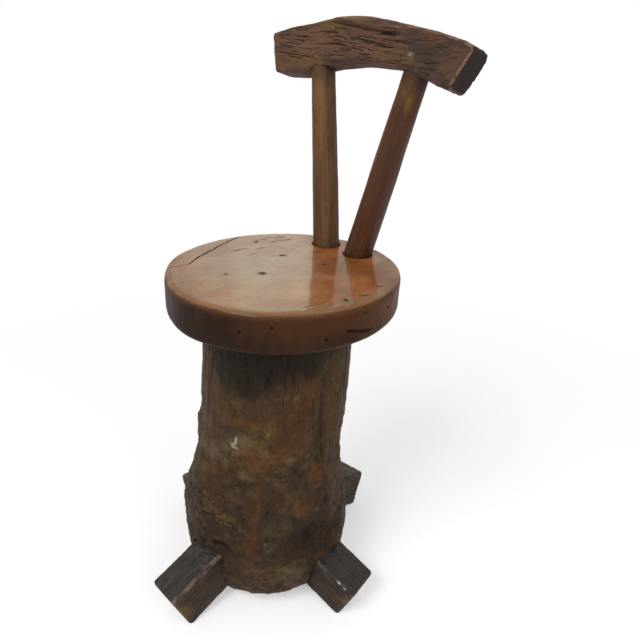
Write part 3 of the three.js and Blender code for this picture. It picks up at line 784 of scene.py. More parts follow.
def carve_rail(look):
    """The crest rail: hewn to an arch and split by short checks along its straight grain."""
    chance = random.Random(23)
    rail = blank("crest_rail", "weathered_crest_rail", RAIL_PITCH, 3)
    points, normals = points_of(rail), normals_of(rail)
    ahead = (points[:, [0, 2]] - RAIL_CORNER) / MM
    above = (points[:, [0, 1]] - [RAIL_CORNER[0], RAIL_LOW.y]) / MM
    front = ramp(-normals[:, 1], 0.45, 0.85)
    back = ramp(normals[:, 1], 0.45, 0.85)
    top = ramp(normals[:, 2], 0.45, 0.85)
    under = ramp(-normals[:, 2], 0.45, 0.85)
    end = ramp(np.abs(normals[:, 0]), 0.70, 0.92)
    arris = 1 - ramp(np.abs(normals).max(1), 0.80, 0.985)
    chunks = mottle(points, [30, 3.6, 3.6], 3)

    height = mottle(points, [70, 16, 12], 3) * 0.9 * MM
    height += chunks * 0.6 * MM * (1 - end)
    height += mottle(points, [14, 8, 8], 3, 9.0) * 0.5 * MM * arris
    checks, lip_highlights = np.zeros(len(points)), np.zeros(len(points))
    for path, wide, deep in RAIL_CHECKS:
        cut = brush(ahead, path, 0.9 * wide) * front
        checks = np.maximum(checks, cut)
        # a painted highlight along the lower lip of each check
        lip_highlights = np.maximum(lip_highlights, brush(ahead, [(x, y - 1.6) for x, y in path], wide) * front)
        height -= cut ** 0.7 * deep * MM
    faces = [
        # where, cover, how many, span along the rail, span across, width, depth
        (ahead, front, look.checks, (-150, 40), (28, 72), 1.5, 1.6),
        (ahead, front, look.checks // 2, (20, 110), (20, 66), 1.3, 1.4),
        (ahead, back, look.checks, (-150, 135), (8, 74), 2.0, 1.8),
        (above, top, look.checks // 2, (-140, 125), (14, 50), 2.0, 1.8),
        (above, under, look.checks // 4, (-140, 125), (4, 34), 1.6, 1.2),
    ]
    for where, cover, count, span, rise, wide, deep in faces:
        for _ in range(count):
            first = (chance.uniform(*span), chance.uniform(*rise))
            run = chance.uniform(9, 38)
            path = wander(chance, first, run, chance.gauss(-0.05, 0.03), 0.7)
            cut = brush(where, path, wide * chance.uniform(0.7, 1.3)) * cover * chance.uniform(0.5, 1)
            checks = np.maximum(checks, cut)
            lip_highlights = np.maximum(lip_highlights, brush(where, [(x, y - 1.4) for x, y in path], wide) * cover)
            height -= cut ** 0.7 * deep * MM
    groove = brush(ahead, RAIL_LIP, 6) * ramp(-normals[:, 1], 0.2, 0.6)
    height -= groove * 2.6 * MM
    lip = brush(ahead, [(x, y + 6) for x, y in RAIL_LIP], 10) * (1 - back)
    height += ramp(lip, 0, 0.7) * 1.2 * MM
    chip = dab(ahead, (83, 42), (7, 4)) * front
    height -= chip * 0.8 * MM
    height = np.where(height > 0, height * ramp(RAIL_HIGH.z - points[:, 2], 0.5 * MM, 5 * MM), height)
    sockets = np.minimum(rail_socket_distance("back_post_left", points),
                         rail_socket_distance("back_post_right", points))
    raise_skin(rail, height * ramp(sockets, 0, 6 * MM))

    paint(rail, "check", np.maximum(ramp(checks, 0.05, 0.75), ramp(groove, 0.2, 1.0) * 0.8))
    # Raised fibres, and a painted highlight on the lower lip of each check
    paint(rail, "raised", np.maximum(ramp(chunks, 0.1, 0.7) * 0.8, ramp(lip_highlights, 0.1, 0.7)) * (1 - end)
          + dab(ahead, (-105, 62), (70, 26)) ** 0.5 * 0.5)
    rough = mottle(points, [16, 6, 6], 3, 3.0)
    upper = ramp(ahead[:, 1], 30, 60)
    right_upper = dab(ahead, (105, 60), (56, 26)) ** 0.4 * ramp(ahead[:, 1], 20, 40)
    near_end = ramp(ahead[:, 0], 118, 128) * (1 - end)
    paint(rail, "worn", arris * np.clip(0.35 + rough, 0, 1) * np.clip(upper + near_end * 2, 0.15, 1)
          + ramp(lip, 0.2, 0.8) * np.clip(0.35 + rough, 0, 1) + near_end * arris * ramp(rough, -0.35, 0.25)
          + arris * right_upper * np.clip(0.3 + rough, 0, 0.6) + top * right_upper * 0.25)
    # Pink bruises at the right of the rail, and a painted reflection of the floor along the underside
    paint(rail, "pink_and_reflection", dab(ahead, (96, 58), (44, 16)) ** 0.5 * np.maximum(arris, top)
          + (dab(ahead, (118, 10), (14, 14)) + under * 0.8) * 0.9)
    paint(rail, "ochre", np.maximum.reduce([
        dab(ahead, (60, 34), (40, 8)) ** 0.5 * front, dab(ahead, (-80, 26), (50, 12)) ** 0.5 * front,
        near_end * arris * 0.4, dab(ahead, (-35, 72), (60, 8)) ** 0.5 * np.maximum(arris, front)]))
    paint(rail, "damp", np.maximum(ramp(ahead[:, 0], 50, 105) * front, back * 0.5)
          + (1 - ramp(ahead[:, 1], 4, 26)) * 0.5 * front)
    paint(rail, "chip", chip)
    paint(rail, "end", end)
    lay_grain(rail, [0, 1, 0], [0, 0, 1], [1, 0, 0])
    finish_piece(rail, weathered_rail_wood(look), "weathered_rail", "crest_rail")


def rail_socket_distance(node, points):
    """How far points lie outside a post's skin, so that the carving leaves its socket alone."""
    start, axis = post_axis(node)
    off = points - start
    level = off @ axis
    return np.linalg.norm(off - level[:, None] * axis, axis=1) - RAIL_SOCKET_RADIUS


# Feet

FOOT_NAMES = ["foot_front", "foot_right", "foot_back", "foot_left"]


def foot_axes(node):
    """A foot's directions outwards along its length, sideways and up."""
    points = points_of(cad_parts[node])
    low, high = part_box(node)
    outward = np.array([*((low + high) / 2).xy, 0]) - [*LOG_FOOT_AXIS, 0]
    axis = np.linalg.svd(points - points.mean(0), full_matrices=False)[2][0]
    axis *= np.sign(axis @ outward)
    sideways = np.cross([0, 0, 1], axis)
    sideways /= np.linalg.norm(sideways)
    return axis, sideways, np.cross(axis, sideways)


def carve_foot(look, node, material, seed):
    """A hewn block let into the log: fibres raised, arrises bruised, and its sole worn flat."""
    chance = random.Random(seed)
    foot = blank(node, "hewn_" + node, FOOT_PITCH, 3)
    axis, sideways, upward = foot_axes(node)
    points, normals = points_of(foot), normals_of(foot)
    local = points @ np.array([axis, sideways, upward]).T
    low, high = local.min(0), local.max(0)
    local -= [high[0], (low[1] + high[1]) / 2, high[2]]
    faces = normals @ np.array([axis, sideways, upward]).T
    top = ramp(faces[:, 2], 0.5, 0.85)
    beside = ramp(np.abs(faces[:, 1]), 0.5, 0.85)
    end = ramp(faces[:, 0], 0.5, 0.85)
    sole = ramp(-normals[:, 2], 0.97, 0.995)
    arris = 1 - ramp(np.abs(faces).max(1), 0.80, 0.985)

    height = mottle(local, [60, 14, 14], 3, seed) * 0.7 * MM
    height += mottle(local, [46, 3.6, 3.6], 3, seed) * 0.40 * MM * (1 - end)
    bruise = np.clip(0.3 + mottle(local, [11, 8, 8], 3, seed + 4.0), 0, 1)
    height = np.minimum(height, 0.4 * MM * (1 - end)) - bruise * 1.2 * MM * arris
    height += mottle(local, 4, 2, seed) * 0.35 * MM * end
    checks = np.zeros(len(points))
    for where, cover, middle, span in (([0, 1], top, 0, 20), ([0, 2], beside, -24, 26)):
        for _ in range(look.checks):
            first = (chance.uniform(-95, -20), middle + chance.uniform(-span, span))
            path = wander(chance, first, chance.uniform(12, 46), chance.gauss(0, 0.03), 0.8)
            cut = brush(local[:, where] / MM, path, chance.uniform(1.6, 2.6)) * cover
            checks = np.maximum(checks, cut)
            height -= cut ** 0.7 * chance.uniform(0.8, 2.0) * MM
    broken = ramp(mottle(local, [12, 8, 8], 3, seed + 8.0), 0.0, 0.3)
    broken *= ramp(-local[:, 0], 56 * MM, 72 * MM) * np.maximum(top, arris)
    height -= broken * 2.4 * MM
    outer = ramp(points[:, 2], 1.2 * MM, 5 * MM) * (1 - sole)
    raise_skin(foot, height * outer)

    rough = mottle(local, [18, 7, 7], 3, seed + 2.0)
    is_right_foot = node == "foot_right"    # darker than the others, and chipped at one arris
    shown_side = -1 if is_right_foot else 1
    near = np.array([0, local[:, 1].max() * shown_side, 0])
    ridge = arris * ramp(faces[:, 2], 0.3, 0.5) * ramp(faces[:, 1] * shown_side, 0.3, 0.5)
    ridge = 1 - ramp(distance_to(local, ridge > 0.5), 1 * MM, (2.5 if is_right_foot else 6.5) * MM)
    corner = dab(local - near, (-7 * MM, 0, -16 * MM), (22 * MM, 12 * MM, 30 * MM))
    paint(foot, "check", checks)
    # The top is painted grey, in part as a reflection of the sky
    paint(foot, "top", np.maximum(top, end * 0.5))
    paint(foot, "grey", broken + ramp(rough, -0.1, 0.4) * top * (0.5 if is_right_foot else 0.9))
    kicked = [dab(local - near, (x * MM, 0, -1 * MM), (long * MM, wide * MM, wide * MM))
              for x, long, wide in ((-23, 7, 4.5), (-34, 9, 6.5))]
    ridge *= (0.45 if is_right_foot else 0.75) * np.clip(0.75 + rough, 0, 1)
    paint(foot, "worn", np.maximum(ridge, corner * 0.5 * (1 - top)))
    paint(foot, "chip", ramp(np.maximum(*kicked), 0.1, 0.5) * is_right_foot)
    yellow = dab(local - near, (-6 * MM, 0, -32 * MM), (20 * MM, 12 * MM, 22 * MM)) ** 0.6
    paint(foot, "ochre", yellow * (0.25 if is_right_foot else 0.9))
    # Painted shadow in the gap where the foot enters the log; the sides are darker near the log, and all
    # over on the right foot
    hole = dab(local - near, (-72 * MM, -14 * MM * shown_side, 0), (16 * MM, 14 * MM, 8 * MM))
    damp = np.maximum(ramp(-local[:, 0], 40 * MM, 70 * MM) * beside, ramp(hole, 0, 0.4))
    paint(foot, "shade", np.maximum(damp, 0.7 * beside * is_right_foot))
    lay_grain(foot, sideways, upward, axis)
    finish_piece(foot, material, "weathered_foot", node)


# Log. Places on it are degrees round its axis, from +X towards +Y, and millimetres above the floor.

LOG_FISSURES = [
    # path, width, depth
    ([(294, 418), (295, 400), (296, 376)], 3.0, 2.6),
    ([(314, 404), (311, 386), (308, 366)], 3.6, 3.4),
    ([(324, 428), (324, 396)], 2.8, 2.6),
    ([(331, 420), (330, 404)], 2.6, 2.0),
    ([(303, 425), (303, 396)], 2.6, 2.0),
    ([(352, 376), (354, 344), (358, 296), (361, 255), (363, 212)], 4.4, 2.2),
    ([(345, 352), (347, 320), (350, 290)], 3.4, 2.0),
    ([(369, 400), (370, 330), (372, 270)], 4.0, 1.6),
    ([(380, 410), (380, 330)], 4.0, 1.6),
    ([(267, 408), (262, 376), (259, 344)], 5.0, 1.8),
    ([(307, 306), (313, 296), (320, 278)], 3.4, 2.2),
    # the gap where a foot enters the log, painted black as shadow
    ([(270, 107), (276, 111), (283, 114), (291, 109)], 13.0, 5.0),
]
LOG_VEINS = [
    ([(254, 190), (261, 188), (269, 190), (277, 186), (284, 178)], 4.4, 2.0),
    ([(266, 165), (273, 161), (281, 160), (288, 154), (294, 146), (298, 138)], 4.4, 2.2),
    ([(262, 180), (268, 172), (276, 168)], 4.0, 1.7),
    ([(272, 204), (280, 200), (286, 192)], 3.6, 1.4),
]
LOG_HOLLOWS = [
    # place, radius round the log and up, depth, darkness of its dirt and painted shade
    ((261, 162), (4, 4), 4.0, 1.0),
    ((318, 187), (8, 10), 2.0, 0.6),
    ((318, 141), (8, 7), 3.0, 0.7),
    ((351, 132), (18, 22), 1.2, 0.7),
    ((293, 221), (12, 7), 2.2, 0.6),
    ((327, 262), (8, 6), 2.2, 0.7),
    ((336, 246), (8, 6), 2.4, 0.8),
    ((330, 232), (8, 5), 2.2, 0.9),
    ((341, 236), (8, 7), 2.0, 0.6),
    ((283, 299), (10, 6), 1.8, 0.6),
    ((272, 226), (12, 6), 1.2, 0.3),
    ((304, 226), (7, 5), 1.6, 0.5),
    ((321, 218), (6, 9), 1.6, 0.5),
    ((10, 123), (12, 20), 1.4, 0.7),
    ((296, 306), (9, 3), 1.4, 0.5),
    ((309, 296), (4, 12), 1.4, 0.5),
    ((240, 284), (40, 34), 4.0, 0.0),
]
LOG_KNOBS = [
    # place, radius round the log and up, height
    ((319, 131), (8, 7), 1.8), ((326, 246), (7, 6), 2.0), ((333, 258), (8, 6), 2.0),
    ((338, 226), (7, 6), 1.8), ((290, 262), (18, 14), 1.6), ((276, 236), (22, 8), 1.8),
    ((297, 234), (12, 8), 2.2), ((248, 196), (24, 10), 1.6), ((330, 206), (12, 10), 2.0),
    ((326, 160), (14, 12), 2.2), ((287, 287), (14, 10), 1.8), ((302, 258), (16, 8), 1.8),
    ((262, 202), (40, 9), 2.6), ((296, 268), (22, 10), 2.0),
    ((344, 186), (16, 14), 2.0), ((306, 180), (7, 40), 2.2), ((355, 228), (12, 12), 2.0),
]
LOG_RUST = [
    # place, radius round the log and up, strength
    ((343, 364), (11, 26), 0.75), ((340, 304), (20, 26), 0.60), ((358, 228), (15, 17), 0.90),
    ((309, 264), (20, 13), 1.00), ((321, 278), (14, 14), 0.80), ((291, 316), (13, 8), 0.80),
    ((296, 268), (16, 16), 0.60), ((345, 188), (16, 20), 0.65), ((309, 196), (8, 36), 0.60),
    ((306, 130), (16, 36), 0.55), ((254, 368), (10, 44), 0.50), ((268, 236), (20, 8), 0.45),
    ((336, 340), (22, 26), 0.40), ((318, 322), (20, 18), 0.25),
]
LOG_OCHRE = [
    ((311, 272), (18, 16), 0.90), ((303, 284), (22, 15), 0.80),
    ((308, 313), (22, 12), 0.70), ((283, 165), (13, 8), 1.00),
    ((325, 80), (46, 20), 0.65), ((280, 335), (32, 28), 0.30), ((300, 250), (26, 18), 0.40),
    ((252, 218), (32, 20), 0.40), ((272, 186), (24, 16), 0.40), ((352, 236), (10, 16), 0.50),
    ((8, 330), (24, 70), 0.35), ((338, 200), (20, 16), 0.35),
]
LOG_DUST = [
    ((289, 287), (20, 14), 0.80), ((273, 257), (26, 12), 0.60), ((297, 235), (15, 8), 0.55),
    ((330, 268), (10, 8), 0.70), ((313, 304), (4, 9), 0.80), ((319, 132), (9, 7), 0.50),
    ((326, 161), (20, 12), 0.45), ((328, 358), (10, 4), 0.60), ((258, 257), (22, 9), 0.55),
    ((336, 78), (20, 12), 0.50), ((15, 190), (10, 50), 0.35), ((345, 268), (9, 5), 0.50),
    ((276, 296), (10, 5), 0.40), ((314, 280), (3, 6), 0.90), ((296, 293), (13, 8), 0.85),
    ((282, 274), (15, 9), 0.60),
]
LOG_SHADE = [
    ((350, 130), (30, 28), 0.95), ((8, 122), (26, 26), 0.80), ((293, 221), (18, 9), 0.50),
    ((333, 244), (22, 20), 0.35), ((268, 140), (40, 12), 0.55), ((318, 189), (12, 14), 0.45),
    ((242, 190), (16, 50), 0.40), ((330, 168), (30, 16), 0.40), ((356, 300), (7, 60), 0.55),
    ((285, 300), (14, 9), 0.50), ((310, 222), (16, 12), 0.35), ((300, 60), (40, 14), 0.25),
]
LOG_CHIP = [((290, 291), (4, 10)), ((287.5, 283), (5, 8)), ((289.5, 280), (8, 4))]
# The lower edge of the soot and of the seat's painted shadow on the log: azimuth, height
LOG_SOOT_AND_SHADOW = [(120, 400), (230, 408), (262, 398), (270, 360), (280, 350), (296, 343), (304, 356),
            (314, 364), (326, 376), (345, 374), (355, 392), (366, 410), (480, 400)]


def on_log(spot):
    """A place on the log in unrolled lengths."""
    return unroll(spot[0], spot[1], LOG_RADIUS, LOG_FACE)


def dab_on_log(skin, spot, size, grown=1.0):
    """How far a dab with these radii in millimetres covers each point of the log."""
    return dab(skin, on_log(spot), [grown * length * MM for length in size])


def carve_log(look):
    """The log: burrs and hollows below, straight grain and fissures above, and mortises cut by hand."""
    chance = random.Random(37)
    log = blank("trunk", "burr_log", LOG_PITCH, 6)
    points, normals = points_of(log), normals_of(log)
    lean = ramp(points[:, 2], LOG_RADIUS, LOG_TOP)[:, None]
    axis = LOG_FOOT_AXIS * (1 - lean) + LOG_TOP_AXIS * lean
    skin = around(points, axis, LOG_RADIUS, LOG_FACE)
    off = points[:, :2] - axis
    out = np.hypot(off[:, 0], off[:, 1])
    facing = (normals[:, :2] * off).sum(1) / out
    bark = ramp(facing, 0.1, 0.5) * ramp(out, 62 * MM, 74 * MM)
    up = points[:, 2] / MM
    burr = 1 - ramp(up, 250, 340)

    height = mottle(points, [30, 30, 44], 3) * (0.7 + 0.6 * burr) * MM
    crumple = mottle(points, 13, 4, 4.0)
    height += crumple * (0.3 + 1.5 * burr) * MM
    height += mottle(points, [6, 6, 70], 3) * (0.9 - 0.5 * burr) * MM
    folds = np.abs(mottle(points, [26, 26, 34], 3, 7.0))
    creases = (1 - ramp(folds, 0, 0.09)) * burr * ramp(up, 20, 60)
    height -= creases * 1.2 * MM
    # Dirt and painted shade in the creases and hollows of the burr
    dark = np.maximum(creases * 0.45, ramp(-crumple, 0.10, 0.60) * 0.50 * burr)

    curly = skin + waver(points, 11, (41.0, 47.0)) * 4 * MM
    for path, wide, deep in LOG_FISSURES:
        cut = brush(0.6 * skin + 0.4 * curly, [on_log(spot) for spot in path], wide * MM)
        height -= cut ** 0.7 * deep * MM
        dark = np.maximum(dark, ramp(cut, 0.1, 0.9) * min(deep / 3, 1))
    for _ in range(look.fissures):
        first = on_log((chance.uniform(150, 450), chance.uniform(300, 400)))
        path = [(x, y) for y, x in wander(chance, first[::-1], chance.uniform(20, 70) * MM,
                                          chance.gauss(0, 0.05), 0.6 * MM)]
        cut = brush(skin, path, 3.2 * MM) * chance.uniform(0.4, 1)
        height -= cut * 1.8 * MM
        dark = np.maximum(dark, ramp(cut, 0.2, 1.0) * 0.9)
    veins = np.zeros(len(points))
    for path, wide, high in LOG_VEINS:
        places = [on_log(spot) for spot in path]
        vein = ramp(brush(curly, places, wide * MM), 0, 0.8)
        around_it = ramp(brush(curly, places, 2.2 * wide * MM), 0, 0.5) - vein
        height += (vein * high - around_it * 1.2) * MM
        # the band round each vein is painted dark as its shadow
        dark = np.maximum(dark, around_it * 0.8) * (1 - 0.8 * vein)
        veins = np.maximum(veins, vein)
    for spot, size, deep, darkness in LOG_HOLLOWS:
        pit = dab_on_log(skin, spot, size)
        height -= ramp(pit, 0, 0.9) * deep * MM
        dark = np.maximum(dark, ramp(pit, 0.15, 0.9) * darkness)
    for spot, size, high in LOG_KNOBS:
        height += ramp(dab_on_log(skin, spot, size), 0, 0.9) * high * MM
    for _ in range(look.pits):
        spot = on_log((chance.uniform(130, 470), chance.uniform(40, 290)))
        wide = chance.uniform(2.5, 7)
        pit = dab(skin, spot, (wide * MM, chance.uniform(0.6, 1.3) * wide * MM))
        height -= ramp(pit, 0, 0.9) * chance.uniform(0.8, 2.6) * MM
        dark = np.maximum(dark, ramp(pit, 0.2, 0.9) * chance.uniform(0.3, 0.9))
    chip = np.zeros(len(points))
    for spot, size in LOG_CHIP:
        chip = np.maximum(chip, dab_on_log(skin, spot, size))
    height += ramp(chip, 0.1, 0.5) * 1.0 * MM
    raise_skin(log, height * bark * ramp(LOG_TOP - points[:, 2], 0.5 * MM, 4 * MM) * ramp(up, 7, 14))

    mottled = ramp(mottle(points, [24, 24, 30], 4, 12.0), 0.1, 0.5)
    hidden = 1 - ramp(np.cos(skin[:, 0] / LOG_RADIUS), 0.2, 0.5)
    stray = waver(points, 14, (21.0, 33.0)) * 7 * MM
    layers = {"rust": LOG_RUST, "ochre": LOG_OCHRE, "dust": LOG_DUST, "shade": LOG_SHADE}
    for name, spots in layers.items():
        cover = mottled * 0.7 * hidden * burr if name == "rust" else np.zeros(len(points))
        for spot, size, strength in spots:
            patch = dab_on_log(skin + stray, spot, size, 1.3)
            cover = np.maximum(cover, ramp(patch, 0, 0.6) * strength)
        paint(log, name, np.maximum(cover, veins * 0.7) if name == "dust" else cover)
    # Painted highlight: the swellings of the burr are painted lighter
    paint(log, "rubbed", ramp(crumple, 0.05, 0.6) * burr)
    paint(log, "low", (1 - ramp(up, 150, 280)) * ramp(up, 50, 100))
    # Painted shade on the walls of the mortises
    inside = (1 - bark) * ramp(up, 20, 30) * ramp(LOG_TOP / MM - up, 1, 4)
    paint(log, "pit", np.maximum(dark, inside))
    paint(log, "chip", ramp(chip, 0.15, 0.5))
    # Soot, and a painted shadow of the seat, darken the top of the log
    azimuth = np.degrees(skin[:, 0] / LOG_RADIUS) + LOG_FACE
    edge = np.interp(azimuth, [spot[0] for spot in LOG_SOOT_AND_SHADOW], [spot[1] for spot in LOG_SOOT_AND_SHADOW])
    edge += mottle(points, [7, 7, 30], 3, 5.0) * 14
    paint(log, "soot_and_shadow", ramp(up, edge - 6, edge + 20))
    lay_grain(log, [1, 0, 0], [0, 1, 0], [0, 0, 1])
    finish_piece(log, burr_wood(look), "log_wood", "trunk")


# Stage. Places are in millimetres from the middle of the seat, on the floor.

CAMERA_PLACE = (535.4, -507.2, 758.8)
CAMERA_FORWARD = (-0.6165, 0.6662, -0.4196)
CAMERA_RIGHT = (0.7238, 0.6893, 0.0309)
CAMERA_LENS = 35.05      # millimetres, for a frame 36 mm wide

KEY_PLACE, KEY_AIM, KEY_SIZE = (250, -1700, 2100), (0, 0, 380), (1100, 900)
FILL_PLACE, FILL_AIM, FILL_SIZE = (1900, -300, 1300), (0, 0, 350), (1200, 1200)
FILL_SHARE = 0.3         # of the key lamp's power
FLOOR_SIZE = 12          # metres
FLOOR_NEAR, FLOOR_FAR = 0.35, 1.3    # metres from its middle, where its white begins and where it is full

# A window that only the varnish mirrors: its middle, what it faces, and its directions
WINDOW_PLACE = (-2150, 1150, 1500)
WINDOW_AIM = (0, 0, 490)
WINDOW_RIGHT = (0.472, 0.882, 0.0)
WINDOW_UP = (0.338, -0.181, 0.924)
WINDOW_COLOUR = (0.82, 1.0, 0.82)
WINDOW_PANES = [
    # place to the right and up, width, height, share of the power
    (625, 260, 450, 720, 1.55), (625, -450, 450, 700, 0.86), (500, 960, 700, 660, 1.30),
    (275, 260, 250, 720, 0.85), (275, -450, 250, 700, 0.52),
    (25, 260, 250, 720, 0.42), (25, -450, 250, 700, 0.26),
    (450, 1700, 800, 800, 2.00), (1050, -100, 400, 1440, 0.34),
]


def from_seat(spot):
    """A place on the stage in metres, in the frame of the model."""
    return Vector((SEAT_CENTRE[0] + spot[0] * MM, SEAT_CENTRE[1] + spot[1] * MM, spot[2] * MM))


def add_lamp(name, spot, aim, size, power):
    """A soft lamp of this width and height that looks at a place."""
    here, there = from_seat(spot), from_seat(aim)
    turn = (there - here).to_track_quat("-Z", "Y").to_matrix()
    bpy.ops.object.light_add(type="AREA", location=here, rotation=turn.to_euler())
    lamp = bpy.context.active_object
    lamp.name = name
    lamp.data.shape = "RECTANGLE"
    lamp.data.size = size[0] * MM
    lamp.data.size_y = size[1] * MM
    lamp.data.energy = power
    return lamp


def seen_directly(tree):
    """1 for the rays of the camera, of reflections and of clear materials, and 0 for all other light."""
    path = add_node(tree, "LightPath")
    shown = path.outputs["Is Camera Ray"]
    for kind in ("Is Glossy Ray", "Is Transmission Ray"):
        either = add_node(tree, "Math", {"operation": "MAXIMUM"}, {0: shown, 1: path.outputs[kind]})
        shown = either.outputs["Value"]
    return shown


def paper_floor(stage):
    """Pale seamless paper: it keeps the chair's shadow close by, and is plain white further away."""
    material, tree = new_material("seamless_paper")
    where = add_node(tree, "TexCoord")
    away = add_node(tree, "VectorMath", {"operation": "LENGTH"}, {0: where.outputs["Object"]})
    far = add_node(tree, "MapRange", SMOOTH,
                   {"Value": away.outputs["Value"], "From Min": FLOOR_NEAR, "From Max": FLOOR_FAR})
    seen = seen_directly(tree)
    lift = add_node(tree, "Math", {"operation": "MULTIPLY"}, {0: seen, 1: stage.floor_lift})
    paper = add_node(tree, "BsdfDiffuse", None, {"Color": rgba(stage.floor_colour)})
    glow = add_node(tree, "Emission", None, {"Strength": lift.outputs["Value"]})
    near = add_node(tree, "AddShader", None, {0: paper.outputs["BSDF"], 1: glow.outputs["Emission"]})
    white = add_node(tree, "Emission")
    share = add_node(tree, "Math", {"operation": "MULTIPLY"}, {0: seen, 1: far.outputs["Result"]})
    mixed = add_node(tree, "MixShader", None, {
        0: share.outputs["Value"], 1: near.outputs["Shader"], 2: white.outputs["Emission"]})
    add_node(tree, "OutputMaterial", None, {"Surface": mixed.outputs["Shader"]})
    return material


def white_world(stage):
    """White surroundings for the camera and for reflections, and a plain soft light for everything else."""
    world = bpy.data.worlds.new("white_studio")
    world.use_nodes = True
    tree = world.node_tree
    tree.nodes.clear()
    level = add_node(tree, "MapRange", None, {
        "Value": seen_directly(tree), "To Min": stage.ambient, "To Max": 1.0})
    sky = add_node(tree, "Background", None, {"Color": (1, 1, 1, 1), "Strength": level.outputs["Result"]})
    add_node(tree, "OutputWorld", None, {"Surface": sky.outputs["Background"]})
    return world


# What a user may change

def colour_of(name, description, default):
    """A colour property with an sRGB hex default."""
    return bpy.props.FloatVectorProperty(name=name, description=description, subtype="COLOR",
                                         size=3, min=0, max=1, default=linear(default))


def count_of(name, description, default):
    """A whole-number property."""
    return bpy.props.IntProperty(name=name, description=description, default=default, min=0)


def share_of(name, description, default):
    """A property from 0 to 1."""
    return bpy.props.FloatProperty(name=name, description=description, subtype="FACTOR",
                                   default=default, min=0, max=1)


class SeatFinish(bpy.types.PropertyGroup):
    """The varnished seat slab"""
    body: colour_of("Body", "Colour of the wood under the varnish", "#a96330")
    grain: colour_of("Grain", "Colour of the dark grain", "#6b3b1b")
    light: colour_of("Light", "Colour of the pale grain", "#ae804e")
    # also the colour of the painted reflection on the top and the painted highlight on the rim
    bare: colour_of("Bare", "Colour of the wood where the varnish is gone", "#877a5e")
    # the side's colour holds painted shade as well as its end grain
    edge: colour_of("Edge", "Colour of the slab's side", "#40281a")
    # painted light on the lit part of the side and just under the rim
    edge_painted_light: colour_of("Light edge", "Colour of the side where it is rubbed", "#6f4524")
    # painted shade on one part of the side and low on the side
    edge_painted_shade: colour_of("Dark edge", "Colour of the handled part of the side", "#261c17")
    film: share_of("Varnish", "Strength of the varnish on top", 0.3)
    film_edge: share_of("Varnish on the side", "Strength of the varnish on the side", 0.015)
    film_roughness: share_of("Film roughness", "Dullness of the varnish", 0.12)
    crack_depth: bpy.props.FloatProperty(name="Crack depth", description="Depth of the long crack",
                                         unit="LENGTH", default=14 * MM, min=0)


class LogFinish(bpy.types.PropertyGroup):
    """The burr log"""
    body: colour_of("Body", "Main colour of the log", "#45321f")
    dark: colour_of("Dark", "Colour of the stained hollows", "#281e15")
    # also the colour of the painted highlight on the swellings
    light: colour_of("Light", "Colour of the rubbed swellings", "#695337")
    red: colour_of("Red", "Colour of the reddish stains", "#462b1b")
    low: colour_of("Low", "Colour of the damp lower part", "#2f221a")
    rust: colour_of("Rust", "Colour of the bared heartwood", "#6b3c1c")
    ochre: colour_of("Ochre", "Colour of the yellow patches", "#67512d")
    dust: colour_of("Dust", "Colour of the dusty swellings", "#75674f")
    # also the colour of the painted shade on the log
    soot_and_shadow: colour_of("Soot", "Colour of the dirt under the seat", "#1e1812")
    fissures: count_of("Fissures", "Number of small fissures round the upper log", 46)
    pits: count_of("Pits", "Number of small pits round the lower log", 60)


class PostFinish(bpy.types.PropertyGroup):
    """The two back posts"""
    left: colour_of("Left post", "Main colour of the left post", "#67452a")
    left_dark: colour_of("Left post, dark", "Dark streaks of the left post", "#442d1b")
    right: colour_of("Right post", "Main colour of the right post", "#51301b")
    right_dark: colour_of("Right post, dark", "Dark streaks of the right post", "#382113")
    # also the colour of the painted sheen on the right post's edge
    light: colour_of("Dry", "Colour of the dry rubbed fibres", "#775637")
    red: colour_of("Red", "Colour of the oiled patches", "#4d2817")
    ochre: colour_of("Ochre", "Colour of the bare wood near the rail", "#7d5a2c")
    checks: count_of("Checks", "Number of fine checks on each post", 9)


class RailFinish(bpy.types.PropertyGroup):
    """The crest rail"""
    body: colour_of("Body", "Main colour of the rail", "#614534")
    dark: colour_of("Dark", "Colour of the damp stains", "#3b2f27")
    # also the colour of the painted highlight on the lips of the checks
    light: colour_of("Light", "Colour of the raised fibres", "#7a5c42")
    red: colour_of("Red", "Colour of the red stains", "#5e3424")
    ochre: colour_of("Ochre", "Colour of the yellow patches", "#6e5729")
    worn: colour_of("Worn", "Colour of the worn arrises", "#8b6f54")
    # the pale underside is a painted reflection of the floor
    pink_and_reflection: colour_of("Pink", "Colour of the bleached underside and the bruises", "#7a5a58")
    crack: colour_of("Crack", "Colour of the checks", "#2c1b13")
    end: colour_of("End", "Colour of the end grain", "#231f1c")
    checks: count_of("Checks", "Number of small checks on the front", 64)


class FootFinish(bpy.types.PropertyGroup):
    """The four feet"""
    side: colour_of("Side", "Main colour of the sides", "#3d2c1e")
    side_dark: colour_of("Dark side", "Colour of the stained sides", "#2a2019")
    top: colour_of("Top", "Colour of the upper face", "#322d29")
    top_light: colour_of("Light top", "Colour of the dry patches on the upper face", "#54493f")
    worn: colour_of("Worn", "Colour of the bruised arrises", "#7d6557")
    checks: count_of("Checks", "Number of checks on each face", 5)


class StageSettings(bpy.types.PropertyGroup):
    """Floor, light and camera"""
    floor_colour: colour_of("Floor", "Colour of the paper floor", "#f2f1ef")
    floor_lift: share_of("Floor lift", "How much whiter the camera and reflections see the floor", 0.4)
    ambient: share_of("Ambient", "Strength of the light from all sides", 0.45)
    key_power: bpy.props.FloatProperty(name="Key light", description="Power of the main lamp",
                                       unit="POWER", default=26.0, min=0)
    window_power: bpy.props.FloatProperty(name="Window light",
                                          description="Power per square metre of the window",
                                          default=6.3, min=0)


